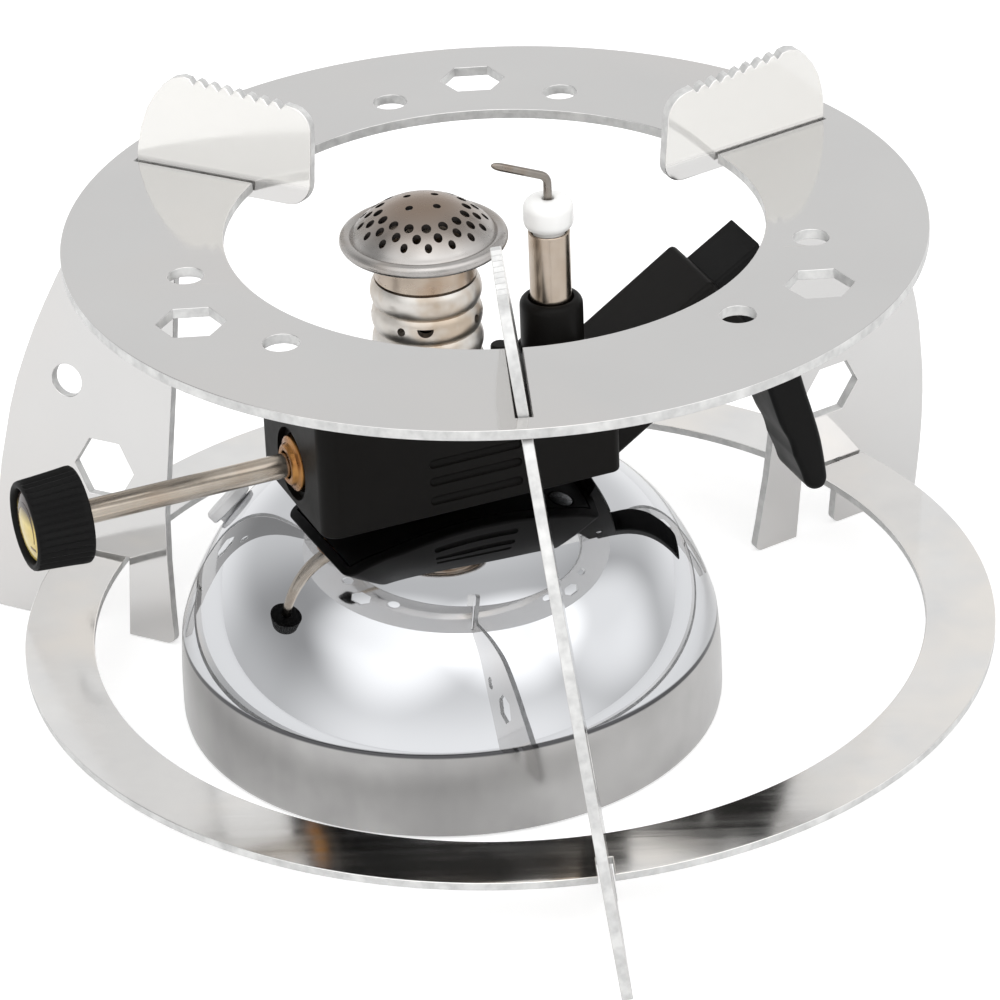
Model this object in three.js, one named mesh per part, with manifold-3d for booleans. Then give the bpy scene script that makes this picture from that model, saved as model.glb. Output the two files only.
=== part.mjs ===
// Butane bunsen burner: a small refillable burner standing inside a flat-plate pan stand.
// Millimetres, +Z up, floor at z = 0, the pictured front looks along +Y.
import * as THREE from 'three';
import { mergeVertices } from 'three/addons/utils/BufferGeometryUtils.js';
import Module from 'manifold-3d';

const wasm = await Module();
wasm.setup();

// Shared clearances and plate sizes
const gap = 0.3;
const overrun = 2;
const plate = 1.5;
const holeSides = 8;
const smallSides = 16;
const midSides = 24;

// Pan stand: two flat rings held by three radial plates that lean as their loose slots let them
const stand = {
  topRadius: 60,
  topBore: 37.5,
  topHeight: 74.5,
  baseRadius: 70,
  baseBore: 60,
  baseHeight: 12,
  baseThickness: 1.2,
  ringSides: 72,
  legCount: 3,
  frontAngle: -87.2,
  lean: 7.3,
};
const ringHoles = { hexRadius: 4.8, hexOrbit: 48.7, roundRadius: 2.5, roundOrbit: 44, roundSpread: 16.4 };

// Leg plate, out from the ring axis and up from the top ring's upper face
const leg = {
  tabInner: 28.5,
  tabOuter: 56.5,
  tabHeel: 49.5,
  tabTop: 13.5,
  tabToe: 11.9,
  tabDrop: 2.6,
  corner: 3.5,
  toothPitch: 2,
  toothDepth: 0.8,
  toothCount: 8,
  toothStart: 32,
  shoulder: 59.6,
  footOuter: 81.3,
  footInner: 65.5,
  prongOuter: 58.5,
  prongInner: 50.8,
  waist: 52.2,
  waistShare: 0.867,
  neck: 50.2,
  fillet: 5,
  toe: 1.2,
  hole: { out: 68.8, dropShare: 0.58, radius: 2.5 },
  hex: { out: 62.6, dropShare: 0.784, radius: 5 },
};
const bulgeShares = [
  [0.25, 0.108], [0.49, 0.25], [0.67, 0.368], [0.82, 0.49], [0.92, 0.62], [0.98, 0.74], [1, 0.86],
];
const tabEdgeShares = [[0, 0.25], [0.17, 0.62], [0.45, 0.83]];
const toothShares = { valley: 0.35, crest: 0.7 };

// Burner, standing off the ring axis and turned; its rod and lever lie along its own X
const burner = { x: -8.6, y: -2, turn: 22.4 };

const tank = {
  radius: 39.1,
  belly: 6.5,
  crown: 36,
  power: 2.5,
  footInset: 0.5,
  footRise: 2.4,
  skin: 0.8,
  sides: 48,
  throat: 4.6,
};
const domeShares = [0.24, 0.4, 0.54, 0.66, 0.76, 0.85, 0.92, 0.972, 0.995];
const tankBase = { inset: 2.3, thickness: 1, flange: 3.2, chamfer: 0.5 };
const neck = { thread: 4.2, threadDrop: 5.5, flange: 5.8, flangeRise: 1, bore: 2.1, rise: 3.3 };
const supply = { radius: 1.7, bore: 0.9, low: 4, drop: 2 };
const filler = {
  turn: 137.6,
  heightShare: 0.648,
  inset: 0.9,
  tilt: 47,
  radius: 2.6,
  flange: 3.6,
  rise: 2.6,
  depth: 8,
  bore: 1.1,
};

// Black moulded housing with the arm that guides the lever
const body = {
  left: -22.7,
  right: 22.3,
  half: 12.5,
  rise: 1.3,
  height: 15.2,
  crest: 2.2,
  roof: 42,
  corner: 1.4,
  leftCorner: 2.4,
  wall: 2,
  floor: 1.6,
  cell: 9.8,
  cellHalf: 3.8,
  recess: 5.3,
  recessDepth: 1,
  postX: 9.5,
  postRadius: 1.4,
  postRise: 2.4,
  grooveHalf: 7,
  grooveRadius: 0.7,
  grooveRises: [8.3, 5.5, 2.5],
};
const arm = { half: 7, height: 11.8, tilt: 33.5, endX: 39.5, rise: 17.1, reach: 30, wall: 1.5, open: 21.3 };
const screw = { x: 15.5, y: 8, radius: 0.9, head: 1.8, headHeight: 1, length: 7 };

// Gas way, control rod and knob
const rod = { radius: 1.75, rise: 6.4, seat: -9, needle: 2.5, point: 0.4, outer: -57 };
const valve = {
  left: -17.2,
  right: 9.2,
  half: 5.2,
  drop: 4.1,
  rise: 4.1,
  flange: 7.6,
  flangeHeight: 1.5,
  stub: 6,
  stubDrop: 2.1,
  bore: 1.1,
  sealBore: 3.5,
  sealDepth: 2,
};
const gland = { radius: 4.05, outer: -23.2, inner: -17.5, chamfer: 0.5 };
const seal = { radius: 3.1, length: 1.3 };
const knob = {
  back: -53.8,
  front: -62,
  backRadius: 6.9,
  frontShare: 0.915,
  recess: 1.8,
  recessRadius: 5,
  flutes: 36,
  flute: 0.35,
};
const disc = { thickness: 0.8, bevel: 0.2 };
const jet = { radius: 2.2, rise: 2, bore: 0.5, footRise: 0.8, neck: 1.4 };
const tube = {
  x: -1.3,
  radius: 7.8,
  groove: 7.15,
  bore: 6.4,
  pitch: 3.8,
  rise: 15.7,
  bulgeCount: 5,
  sides: 32,
  airDrop: 5,
  airRadius: 1.15,
  airTurns: [-114, -140, -24, 66, 156],
};
const collar = { radius: 7.1, height: 3.2, flare: 9.7, flareRise: 1.7, skin: 0.6, sleeveDrop: 3 };
const cap = {
  bead: 0.95,
  beadOrbit: 10.75,
  beadRise: 0.65,
  beadSteps: 8,
  dome: 10.3,
  domeRise: 0.5,
  rise: 5.75,
  domeSteps: 6,
  skin: 0.6,
  sides: 40,
};
const capRings = [
  { orbit: 2.7, count: 4, phase: 27, radius: 0.55 },
  { orbit: 6.1, count: 16, phase: 5, radius: 0.65 },
  { orbit: 7.5, count: 16, phase: 16.25, radius: 0.6 },
  { orbit: 8.6, count: 16, phase: 5, radius: 0.5 },
];

// Spark igniter
const spark = {
  x: 17.5,
  socket: 4.5,
  shoulderRise: 6,
  socketRise: 8,
  spigot: 4,
  spigotRise: 1.1,
  sleeve: 2.95,
  sleeveSkin: 0.4,
  sleeveRise: 18.3,
  sleeveFoot: 3.9,
  bead: 3.55,
  beadHeight: 4.8,
  beadRound: 1.2,
  stem: 2.25,
  stemFoot: 5,
  wire: 0.55,
  wireFoot: 4,
  bend: 26.6,
  bendRadius: 1.2,
  bendShare: 0.5,
  tipX: 9.2,
  tipRise: 30.1,
  tipTaper: 2.5,
  point: 0.08,
  lead: 0.8,
  shoulderTurn: [20, 60],
};
const piezo = { back: 10.2, front: 24, radius: 3.4, nose: 2.6, noseLength: 4, bore: 1.9, boreEnd: 13 };
const plunger = { radius: 1.6, back: 16.6, dome: 0.5 };

// Trigger lever, outline shares run from its pivot
const trigger = {
  pivotAlong: -6.5,
  pivotDrop: 5.6,
  pin: 1,
  reach: 21.6,
  drop: 31.3,
  half: 5,
  hollowHalf: 3.5,
  boss: 3.1,
  padX: -6.7,
  padZ: -9,
  pad: 2,
  padHalf: 2.5,
  web: 1.3,
};
const leverShares = [
  [0.014, 0.147], [0.495, 0.355], [0.616, 0.144], [0.708, -0.112], [0.782, -0.399], [0.861, -0.524],
  [0.935, -0.677], [0.986, -0.815], [1, -0.917], [0.97, -0.955], [0.903, -0.971], [0.894, -1],
  [0.852, -0.946], [0.792, -0.824], [0.718, -0.712], [0.62, -0.61], [0.514, -0.335], [0.384, -0.064],
  [0.065, -0.099], [-0.13, -0.048], [-0.125, 0.064],
];
const hollowShares = [
  [0.435, 0.265], [0.546, 0.121], [0.639, -0.121], [0.713, -0.409], [0.792, -0.543], [0.866, -0.69],
  [0.912, -0.821], [0.921, -0.879], [0.731, -0.879], [0.546, -0.719], [0.431, -0.335], [0.245, -0.144],
  [0.259, 0.188],
];

// Heights that several pieces share, stacked up from the crown of the tank
const level = {};
level.bodyLow = tank.crown + body.rise;
level.bodyTop = level.bodyLow + body.height;
level.floor = level.bodyLow + body.floor;
level.rod = level.bodyLow + rod.rise;
level.cellTop = level.rod + piezo.radius + gap;
level.valveTop = level.rod + valve.rise;
level.stubTop = level.bodyTop - valve.stubDrop;
level.tubeTop = level.bodyTop + tube.rise;
level.collarLow = level.tubeTop + gap;
level.collarTop = level.collarLow + collar.height;
level.flareTop = level.collarTop + collar.flareRise;
level.bead = level.flareTop + cap.beadRise;
level.domeLow = level.bead + cap.domeRise;
level.apex = level.bead + cap.rise;
level.armEnd = level.rod + arm.rise;
const tankFoot = tank.radius - tank.footInset;
const tankBaseRadius = tank.radius - tankBase.inset;

level.beadLow = level.bodyTop + spark.sleeveRise + gap;
level.beadTop = level.beadLow + spark.beadHeight;

const radians = THREE.MathUtils.degToRad;
const leanSin = Math.sin(radians(stand.lean));
const leanCos = Math.cos(radians(stand.lean));
const leanTan = leanSin / leanCos;

// Finishes
const finish = (color, roughness, metalness) => new THREE.MeshStandardMaterial({ color, roughness, metalness });
const steel = () => finish(0xc9c8c6, 0.35, 1);
const chrome = () => finish(0xe3e4e6, 0.06, 1);
const blackPlastic = () => finish(0x171616, 0.55, 0);
const brass = () => finish(0xb5883e, 0.35, 1);
const rubber = () => finish(0x1c1c1c, 0.85, 0);
const ceramic = () => finish(0xe9e6df, 0.4, 0);
const yellow = () => finish(0xc9a227, 0.5, 0);

// Solid helpers
function solidFrom(geometry) {
  const bare = geometry.index ? geometry.toNonIndexed() : geometry.clone();
  bare.deleteAttribute('normal');
  bare.deleteAttribute('uv');
  const merged = mergeVertices(bare);
  const vertProperties = new Float32Array(merged.attributes.position.array);
  const triVerts = new Uint32Array(merged.index.array);
  return new wasm.Manifold(new wasm.Mesh({ numProp: 3, vertProperties, triVerts }));
}

const group = new THREE.Group();
group.name = 'butane_bunsen_burner';

function piece(name, solid, material) {
  const { vertProperties, triVerts } = solid.getMesh();
  const geometry = new THREE.BufferGeometry();
  geometry.setAttribute('position', new THREE.BufferAttribute(vertProperties, 3));
  geometry.setIndex(new THREE.BufferAttribute(triVerts, 1));
  geometry.computeVertexNormals();
  const mesh = new THREE.Mesh(geometry, material);
  mesh.name = name;
  group.add(mesh);
}

// A burner piece is modelled on the tank's axis, then turned and moved to its place in the stand
function burnerPiece(name, solid, material) {
  piece(name, solid.rotate([0, 0, burner.turn]).translate([burner.x, burner.y, 0]), material);
}

// Revolve [radius, height] pairs, given anticlockwise with the axis on the left, about +Z
function turned(pairs, sides) {
  const closed = pairs[0][0] > 0 ? [...pairs, pairs[0]] : pairs;
  const geometry = new THREE.LatheGeometry(closed.map(([r, z]) => new THREE.Vector2(r, z)), sides);
  return solidFrom(geometry.rotateX(Math.PI / 2));
}

function ring(inner, outer, low, high, sides) {
  return turned([[inner, low], [outer, low], [outer, high], [inner, high]], sides);
}

function post(radius, low, high, sides) {
  return turned([[0, low], [radius, low], [radius, high], [0, high]], sides);
}

// Lay a solid made along +Z down along +X at a given height
function alongX(solid, height) {
  return solid.rotate([0, 90, 0]).translate([0, 0, height]);
}

function box(x0, x1, half, z0, z1) {
  const geometry = new THREE.BoxGeometry(x1 - x0, 2 * half, z1 - z0);
  return solidFrom(geometry.translate((x0 + x1) / 2, 0, (z0 + z1) / 2));
}

// An outline in the upright XZ plane, given half its thickness to each side
function slab(shape, half, segments) {
  const settings = { depth: 2 * half, bevelEnabled: false, curveSegments: segments };
  const geometry = new THREE.ExtrudeGeometry(shape, settings);
  return solidFrom(geometry.translate(0, 0, -half).rotateX(Math.PI / 2));
}

const toShape = (points) => new THREE.Shape(points.map(([x, y]) => new THREE.Vector2(x, y)));

function arc(cx, cy, radius, from, to, steps) {
  const points = [];
  for (let i = 0; i <= steps; i += 1) {
    const a = radians(from + ((to - from) * i) / steps);
    points.push([cx + radius * Math.cos(a), cy + radius * Math.sin(a)]);
  }
  return points;
}

// A bar with flat sides, six for a hexagon, with corners on its local X
function prism(radius, low, high, sides) {
  return turned([[0, low], [radius, low], [radius, high], [0, high]], sides).rotate([0, 0, 90]);
}

// Pan stand
const slotWidth = plate / leanCos + plate * leanTan + 2 * gap;
const legAngle = (index) => stand.frontAngle + (360 / stand.legCount) * index;

// A radial slot, shifted sideways by as much as the leaning leg is at that height
function slotCutter(angle, from, to, height) {
  const shift = (stand.topHeight - height) * leanTan;
  const cutter = box(from, to, slotWidth / 2, height - overrun, height + overrun);
  return cutter.translate([0, shift, 0]).rotate([0, 0, angle]);
}

function topRing() {
  const low = stand.topHeight - plate;
  const middle = stand.topHeight - plate / 2;
  let solid = ring(stand.topBore, stand.topRadius, low, stand.topHeight, stand.ringSides);
  for (let i = 0; i < stand.legCount; i += 1) {
    const angle = legAngle(i);
    const opposite = angle + 180;
    solid = solid.subtract(slotCutter(angle, stand.topBore - overrun, leg.tabOuter + gap, middle));
    const hex = prism(ringHoles.hexRadius, low - overrun, stand.topHeight + overrun, 6).rotate([0, 0, 90]);
    solid = solid.subtract(hex.translate([ringHoles.hexOrbit, 0, 0]).rotate([0, 0, opposite]));
    for (const side of [-1, 1]) {
      const hole = prism(ringHoles.roundRadius, low - overrun, stand.topHeight + overrun, smallSides);
      const turn = opposite + side * ringHoles.roundSpread;
      solid = solid.subtract(hole.translate([ringHoles.roundOrbit, 0, 0]).rotate([0, 0, turn]));
    }
  }
  return solid;
}

function baseRing() {
  const low = stand.baseHeight - stand.baseThickness;
  let solid = ring(stand.baseBore, stand.baseRadius, low, stand.baseHeight, stand.ringSides);
  for (let i = 0; i < stand.legCount; i += 1) {
    const middle = stand.baseHeight - stand.baseThickness / 2;
    solid = solid.subtract(slotCutter(legAngle(i), leg.footInner - gap, stand.baseRadius + overrun, middle));
  }
  return solid;
}

function legPlate() {
  const edge = (plate / 2) * leanSin;
  const foot = -(stand.topHeight - edge) / leanCos;
  const under = -(plate + gap + edge) / leanCos;
  const notch = -(stand.topHeight - stand.baseHeight - gap - edge) / leanCos;
  const fall = under - foot;
  const points = [[leg.waist, notch * leg.waistShare], [leg.prongInner, foot + leg.toe]];
  points.push([leg.prongInner + leg.toe, foot], [leg.prongOuter, foot]);
  points.push([leg.prongOuter, notch], [leg.footInner, notch]);
  points.push([leg.footInner, foot + leg.toe], [leg.footInner + leg.toe, foot], [leg.footOuter, foot]);
  for (const [out, down] of [...bulgeShares].reverse()) {
    points.push([leg.shoulder + (leg.footOuter - leg.shoulder) * out, under - fall * down]);
  }
  points.push([leg.shoulder, under], [leg.tabOuter, under]);
  for (const [inward, up] of tabEdgeShares) {
    points.push([leg.tabOuter - (leg.tabOuter - leg.tabHeel) * inward, leg.tabTop * up]);
  }
  points.push([leg.tabHeel, leg.tabTop]);
  const slope = (leg.tabTop - leg.tabToe) / (leg.tabHeel - leg.toothStart);
  const crest = (x) => leg.tabToe + (x - leg.toothStart) * slope;
  for (let i = leg.toothCount; i > 0; i -= 1) {
    const x = leg.toothStart + leg.toothPitch * i;
    const valley = x - leg.toothPitch * toothShares.valley;
    const next = x - leg.toothPitch * toothShares.crest;
    points.push([x, crest(x)], [valley, crest(valley) - leg.toothDepth], [next, crest(next)]);
  }
  points.push(...arc(leg.tabInner + leg.corner, leg.tabToe - leg.corner, leg.corner, 90, 180, 5));
  points.push(...arc(leg.tabInner + leg.corner, leg.corner - leg.tabDrop, leg.corner, 180, 270, 4));
  points.push(...arc(leg.neck - leg.fillet, -leg.tabDrop - leg.fillet, leg.fillet, 90, 0, 4));
  const shape = toShape(points);
  const drop = notch * leg.hole.dropShare;
  const round = arc(leg.hole.out, drop, leg.hole.radius, 360, 360 / smallSides, smallSides - 1);
  const hex = arc(leg.hex.out, notch * leg.hex.dropShare, leg.hex.radius, 360, 60, 5);
  shape.holes.push(new THREE.Path(toShape(round).getPoints()), new THREE.Path(toShape(hex).getPoints()));
  return slab(shape, plate / 2, 1).rotate([stand.lean, 0, 0]).translate([0, 0, stand.topHeight]);
}

piece('top_ring', topRing(), steel());
piece('base_ring', baseRing(), steel());
['leg_front', 'leg_right', 'leg_left'].forEach((name, index) => {
  piece(name, legPlate().rotate([0, 0, legAngle(index)]), steel());
});

// Tank
const domeRadius = (share) => tank.radius * (1 - share ** tank.power) ** (1 / tank.power);
function domeProfile(inset) {
  const span = tank.crown - tank.belly;
  const points = [[tank.radius - inset, tank.belly]];
  for (const share of domeShares) {
    const radius = domeRadius(share);
    points.push([radius - inset * (radius / tank.radius), tank.belly + (span - inset) * share]);
  }
  points.push([neck.flange, tank.crown - inset]);
  return points;
}
const tankWall = [[tankFoot, gap], [tank.radius, gap + tank.footInset]];
const tankOuter = [...tankWall, ...domeProfile(0), [tank.throat, tank.crown]];
const tankInner = [[tank.throat, tank.crown - tank.skin], ...domeProfile(tank.skin).reverse()];
const fillerWay = fillerPlace(post(filler.radius + gap, -filler.depth, filler.rise, smallSides));
burnerPiece('tank_shell', turned([
  ...tankOuter,
  ...tankInner,
  [tankBaseRadius + gap, tank.footRise],
  [tankBaseRadius + gap, gap],
], tank.sides).subtract(fillerWay), chrome());
const baseInner = tankBaseRadius - tankBase.thickness;
burnerPiece('tank_base', turned([
  [0, 0],
  [tankBaseRadius - tankBase.chamfer, 0],
  [tankBaseRadius, tankBase.chamfer],
  [tankBaseRadius, tankBase.flange],
  [baseInner, tankBase.flange],
  [baseInner, tankBase.thickness],
  [0, tankBase.thickness],
], tank.sides), steel());
burnerPiece('tank_neck', turned([
  [neck.bore, tank.crown - neck.threadDrop],
  [neck.thread, tank.crown - neck.threadDrop],
  [neck.thread, tank.crown + gap],
  [neck.flange, tank.crown + gap],
  [neck.flange, tank.crown + neck.flangeRise],
  [neck.thread, tank.crown + neck.flangeRise],
  [neck.thread, tank.crown + neck.rise],
  [neck.bore, tank.crown + neck.rise],
], midSides), steel());
const dipTube = ring(supply.bore, supply.radius, supply.low, tank.crown - supply.drop, smallSides);
burnerPiece('supply_tube', dipTube, blackPlastic());

// Carry a solid made about +Z to the filler valve's place on the dome, square to the skin
function fillerPlace(solid) {
  const orbit = domeRadius(filler.heightShare) - filler.inset;
  const height = tank.belly + (tank.crown - tank.belly) * filler.heightShare;
  return solid.rotate([0, filler.tilt, 0]).translate([orbit, 0, height]).rotate([0, 0, filler.turn]);
}
burnerPiece('filler_valve', fillerPlace(turned([
  [0, -filler.depth],
  [filler.radius, -filler.depth],
  [filler.radius, tank.skin],
  [filler.flange, tank.skin],
  [filler.flange, filler.rise],
  [filler.bore, filler.rise],
  [filler.bore, 0],
  [0, 0],
], smallSides)), steel());

// Body. The arm is built with its upper outer end at the origin, then tilted into place
function armPlace(solid) {
  return solid.rotate([0, -arm.tilt, 0]).translate([arm.endX, 0, level.armEnd]);
}
const armCos = Math.cos(radians(arm.tilt));
const armSin = Math.sin(radians(arm.tilt));
const pivot = {
  x: arm.endX + trigger.pivotAlong * armCos + trigger.pivotDrop * armSin,
  z: level.armEnd + trigger.pivotAlong * armSin - trigger.pivotDrop * armCos,
};
const cavityHalf = trigger.half + gap;
const crossPin = (radius, half) => post(radius, -half, half, smallSides).rotate([90, 0, 0]);
const atPivot = (solid) => solid.translate([pivot.x, 0, pivot.z]);

// The top is an arc that starts level at the front and falls away to the rear
function roof(inset) {
  const reach = body.right - body.left;
  const barrel = post(body.roof - inset, -reach, reach, tank.sides);
  return alongX(barrel, level.bodyTop + body.crest - body.roof).translate([0, -body.half - gap, 0]);
}

function housing() {
  const corners = [[1, 1, 0], [-1, 1, 90], [-1, -1, 180], [1, -1, 270]];
  const middle = (body.left + body.right) / 2;
  const reach = (body.right - body.left) / 2;
  const plan = corners.flatMap(([sx, sy, turn]) => {
    const round = sx < 0 ? body.leftCorner : body.corner;
    return arc(middle + sx * (reach - round), sy * (body.half - round), round, turn, turn + 90, 3);
  });
  const depth = body.height + body.crest + overrun;
  const shell = new THREE.ExtrudeGeometry(toShape(plan), { depth, bevelEnabled: false });
  let solid = solidFrom(shell.translate(0, 0, level.bodyLow)).intersect(roof(0));
  const seat = post(spark.socket + 2 * gap, level.rod, level.bodyTop + gap, midSides);
  solid = solid.add(seat.translate([spark.x, 0, 0]));
  const rightOf = (x) => box(x, x + 2 * arm.reach, arm.half + overrun, 0, 2 * level.armEnd);
  const sleeve = armPlace(box(-arm.reach, 0, arm.half, -arm.height, 0));
  solid = solid.add(sleeve.intersect(rightOf(body.right - body.wall / 2)));
  const stop = post(body.postRadius, level.bodyTop - overrun, level.bodyTop + body.postRise, smallSides);
  solid = solid.add(stop.translate([body.postX, 0, 0]));
  for (const rise of body.grooveRises) {
    const groove = post(body.grooveRadius, -body.grooveHalf, body.grooveHalf, smallSides);
    solid = solid.subtract(alongX(groove, level.bodyLow + rise).translate([0, -body.half, 0]));
  }
  const ceiling = level.bodyTop - body.wall;
  const hollow = box(body.left + body.wall, body.cell, body.half - body.wall, level.bodyLow - overrun, ceiling);
  const room = hollow.intersect(roof(body.wall));
  const cell = box(0, body.right + overrun, body.cellHalf, level.floor, level.cellTop);
  const floorWay = box(0, body.right - body.wall, body.half - body.wall, level.bodyLow - overrun, level.floor);
  solid = solid.subtract(room).subtract(cell).subtract(floorWay);
  const inside = armPlace(box(-arm.reach, overrun, cavityHalf, arm.wall - arm.height, -arm.wall));
  const below = armPlace(box(-arm.open, overrun, cavityHalf, -arm.height - overrun, -arm.wall));
  solid = solid.subtract(inside.intersect(rightOf(body.right - body.wall))).subtract(below);
  solid = solid.subtract(atPivot(crossPin(trigger.pin + gap, arm.half + overrun)));
  const above = level.bodyTop + body.crest + overrun;
  const tubeWay = post(tube.radius + gap, level.rod, above, tube.sides);
  solid = solid.subtract(tubeWay.translate([tube.x, 0, 0]));
  const socketWay = post(spark.spigot + gap, level.cellTop - gap, level.bodyTop + overrun, midSides);
  const socketSeat = post(spark.socket + gap, level.bodyTop, above, midSides);
  solid = solid.subtract(socketWay.add(socketSeat).translate([spark.x, 0, 0]));
  const glandWay = post(gland.radius + gap, body.left - overrun, body.left + body.wall + overrun, midSides);
  solid = solid.subtract(alongX(glandWay, level.rod));
  const recess = post(body.recess, body.left - overrun, body.left + body.recessDepth, midSides);
  solid = solid.subtract(alongX(recess, level.rod));
  for (const side of [-1, 1]) {
    const way = post(screw.radius + gap, level.bodyLow, level.bodyLow + screw.length + gap, smallSides);
    solid = solid.subtract(way.translate([screw.x, side * screw.y, 0]));
  }
  return solid;
}

function housingFloor() {
  const inset = body.wall + gap;
  const top = level.floor - gap;
  let solid = box(body.left + inset, body.right - inset, body.half - inset, level.bodyLow, top);
  solid = solid.subtract(post(neck.thread + gap, level.bodyLow - overrun, top + overrun, midSides));
  for (const side of [-1, 1]) {
    const head = post(screw.head + gap, level.bodyLow - overrun, level.bodyLow + screw.headHeight, smallSides);
    const shank = post(screw.radius + gap, level.bodyLow, top + overrun, smallSides);
    solid = solid.subtract(head.add(shank).translate([screw.x, side * screw.y, 0]));
  }
  const restTop = level.rod - piezo.radius - gap;
  const rest = box(piezo.back + overrun, piezo.front - 2 * overrun, body.cellHalf - gap, top - gap, restTop);
  return solid.add(rest);
}

burnerPiece('body', housing(), blackPlastic());
burnerPiece('body_floor', housingFloor(), blackPlastic());
[['screw_front', -1], ['screw_rear', 1]].forEach(([name, side]) => {
  const seat = level.bodyLow + screw.headHeight - gap;
  const head = post(screw.head, level.bodyLow, seat, smallSides);
  const shank = post(screw.radius, level.bodyLow + gap, level.bodyLow + screw.length, smallSides);
  burnerPiece(name, head.add(shank).translate([screw.x, side * screw.y, 0]), steel());
});

// Gas way
function valveBlock() {
  let solid = box(valve.left, valve.right, valve.half, level.rod - valve.drop, level.valveTop);
  const flange = post(valve.flange, level.valveTop - valve.flangeHeight, level.valveTop, midSides);
  const stub = post(valve.stub, level.valveTop - gap, level.stubTop, midSides);
  solid = solid.add(flange.add(stub).translate([tube.x, 0, 0]));
  const inlet = post(valve.bore, level.rod - valve.drop - overrun, level.rod, smallSides);
  const outlet = post(valve.bore, level.rod, level.stubTop, smallSides);
  const jetFoot = level.valveTop + jet.footRise;
  const jetWay = post(jet.radius + gap, jetFoot - gap, level.stubTop + overrun, smallSides);
  const upward = outlet.add(jetWay).translate([tube.x, 0, 0]);
  const cross = alongX(post(valve.bore, rod.seat, overrun, smallSides), level.rod);
  const guide = alongX(post(rod.radius + gap, valve.left - overrun, rod.seat + gap, midSides), level.rod);
  const sealRoom = post(valve.sealBore, valve.left - overrun, valve.left + valve.sealDepth, midSides);
  const sealWay = alongX(sealRoom, level.rod);
  return solid.subtract(inlet).subtract(upward).subtract(cross).subtract(guide).subtract(sealWay);
}
burnerPiece('valve_block', valveBlock(), brass());
burnerPiece('gas_jet', turned([
  [jet.bore, level.valveTop + jet.footRise],
  [jet.radius, level.valveTop + jet.footRise],
  [jet.radius, level.stubTop + overrun],
  [jet.neck, level.bodyTop + jet.rise],
  [jet.bore, level.bodyTop + jet.rise],
], smallSides).translate([tube.x, 0, 0]), brass());

const nutBore = rod.radius + gap;
burnerPiece('gland_nut', alongX(turned([
  [nutBore, gland.outer],
  [gland.radius - gland.chamfer, gland.outer],
  [gland.radius, gland.outer + gland.chamfer],
  [gland.radius, gland.inner],
  [nutBore, gland.inner],
], midSides), level.rod), brass());
const sealEnd = valve.left + valve.sealDepth - gap;
const sealRing = ring(nutBore, seal.radius, sealEnd - seal.length, sealEnd, midSides);
burnerPiece('gland_seal', alongX(sealRing, level.rod), rubber());
burnerPiece('control_rod', alongX(turned([
  [0, rod.outer],
  [rod.radius, rod.outer],
  [rod.radius, rod.seat - gap],
  [valve.bore - gap, rod.seat - gap],
  [rod.point, rod.seat + rod.needle],
  [0, rod.seat + rod.needle],
], smallSides), level.rod), steel());

// Knob: a fluted cup, narrower towards its front
function knobBody() {
  const rim = [];
  for (let i = 0; i < knob.flutes; i += 1) {
    const turn = 360 / knob.flutes;
    const low = knob.backRadius - knob.flute;
    rim.push(...arc(0, 0, knob.backRadius, i * turn, i * turn, 1).slice(1));
    rim.push(...arc(0, 0, low, (i + 0.5) * turn, (i + 0.5) * turn, 1).slice(1));
  }
  const depth = knob.back - knob.front;
  const geometry = new THREE.ExtrudeGeometry(toShape(rim), { depth, bevelEnabled: false });
  const place = geometry.attributes.position;
  for (let i = 0; i < place.count; i += 1) {
    const share = knob.frontShare + (1 - knob.frontShare) * (place.getZ(i) / depth);
    place.setXY(i, place.getX(i) * share, place.getY(i) * share);
  }
  const solid = solidFrom(geometry.translate(0, 0, knob.front));
  const floor = knob.front + knob.recess;
  const recess = post(knob.recessRadius, knob.front - overrun, floor, midSides);
  const bore = post(nutBore, rod.outer - gap, knob.back + overrun, smallSides);
  return alongX(solid.subtract(recess).subtract(bore), level.rod);
}
burnerPiece('knob', knobBody(), blackPlastic());
const discBack = knob.front + knob.recess - gap;
burnerPiece('knob_disc', alongX(turned([
  [0, discBack - disc.thickness],
  [knob.recessRadius - gap - disc.bevel, discBack - disc.thickness],
  [knob.recessRadius - gap, discBack - disc.thickness + disc.bevel],
  [knob.recessRadius - gap, discBack],
  [0, discBack],
], midSides), level.rod), yellow());

// Corrugated mixing tube with its collar and perforated cap
function mixingTube() {
  const profile = [[tube.bore, level.valveTop + gap], [tube.groove, level.valveTop + gap]];
  for (let i = tube.bulgeCount; i > 0; i -= 1) {
    const base = level.tubeTop - tube.pitch * i;
    for (const share of [0, 0.5]) {
      profile.push([share ? tube.radius : tube.groove, base + tube.pitch * share]);
    }
  }
  profile.push([tube.groove, level.tubeTop], [tube.bore, level.tubeTop]);
  let solid = turned(profile, tube.sides);
  const drill = post(tube.airRadius, tube.bore - overrun, tube.radius + overrun, holeSides);
  const hole = alongX(drill, level.tubeTop - tube.airDrop);
  for (const turn of tube.airTurns) {
    solid = solid.subtract(hole.rotate([0, 0, turn]));
  }
  return solid.translate([tube.x, 0, 0]);
}
burnerPiece('burner_tube', mixingTube(), steel());
const collarSleeve = tube.bore - gap;
burnerPiece('tube_collar', turned([
  [collarSleeve - collar.skin, level.tubeTop - collar.sleeveDrop],
  [collarSleeve, level.tubeTop - collar.sleeveDrop],
  [collarSleeve, level.collarLow],
  [collar.radius, level.collarLow],
  [collar.radius, level.collarTop],
  [collar.flare, level.flareTop - collar.skin],
  [collar.flare, level.flareTop],
  [collarSleeve - collar.skin, level.collarTop + collar.skin],
], tube.sides).translate([tube.x, 0, 0]), steel());

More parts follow.
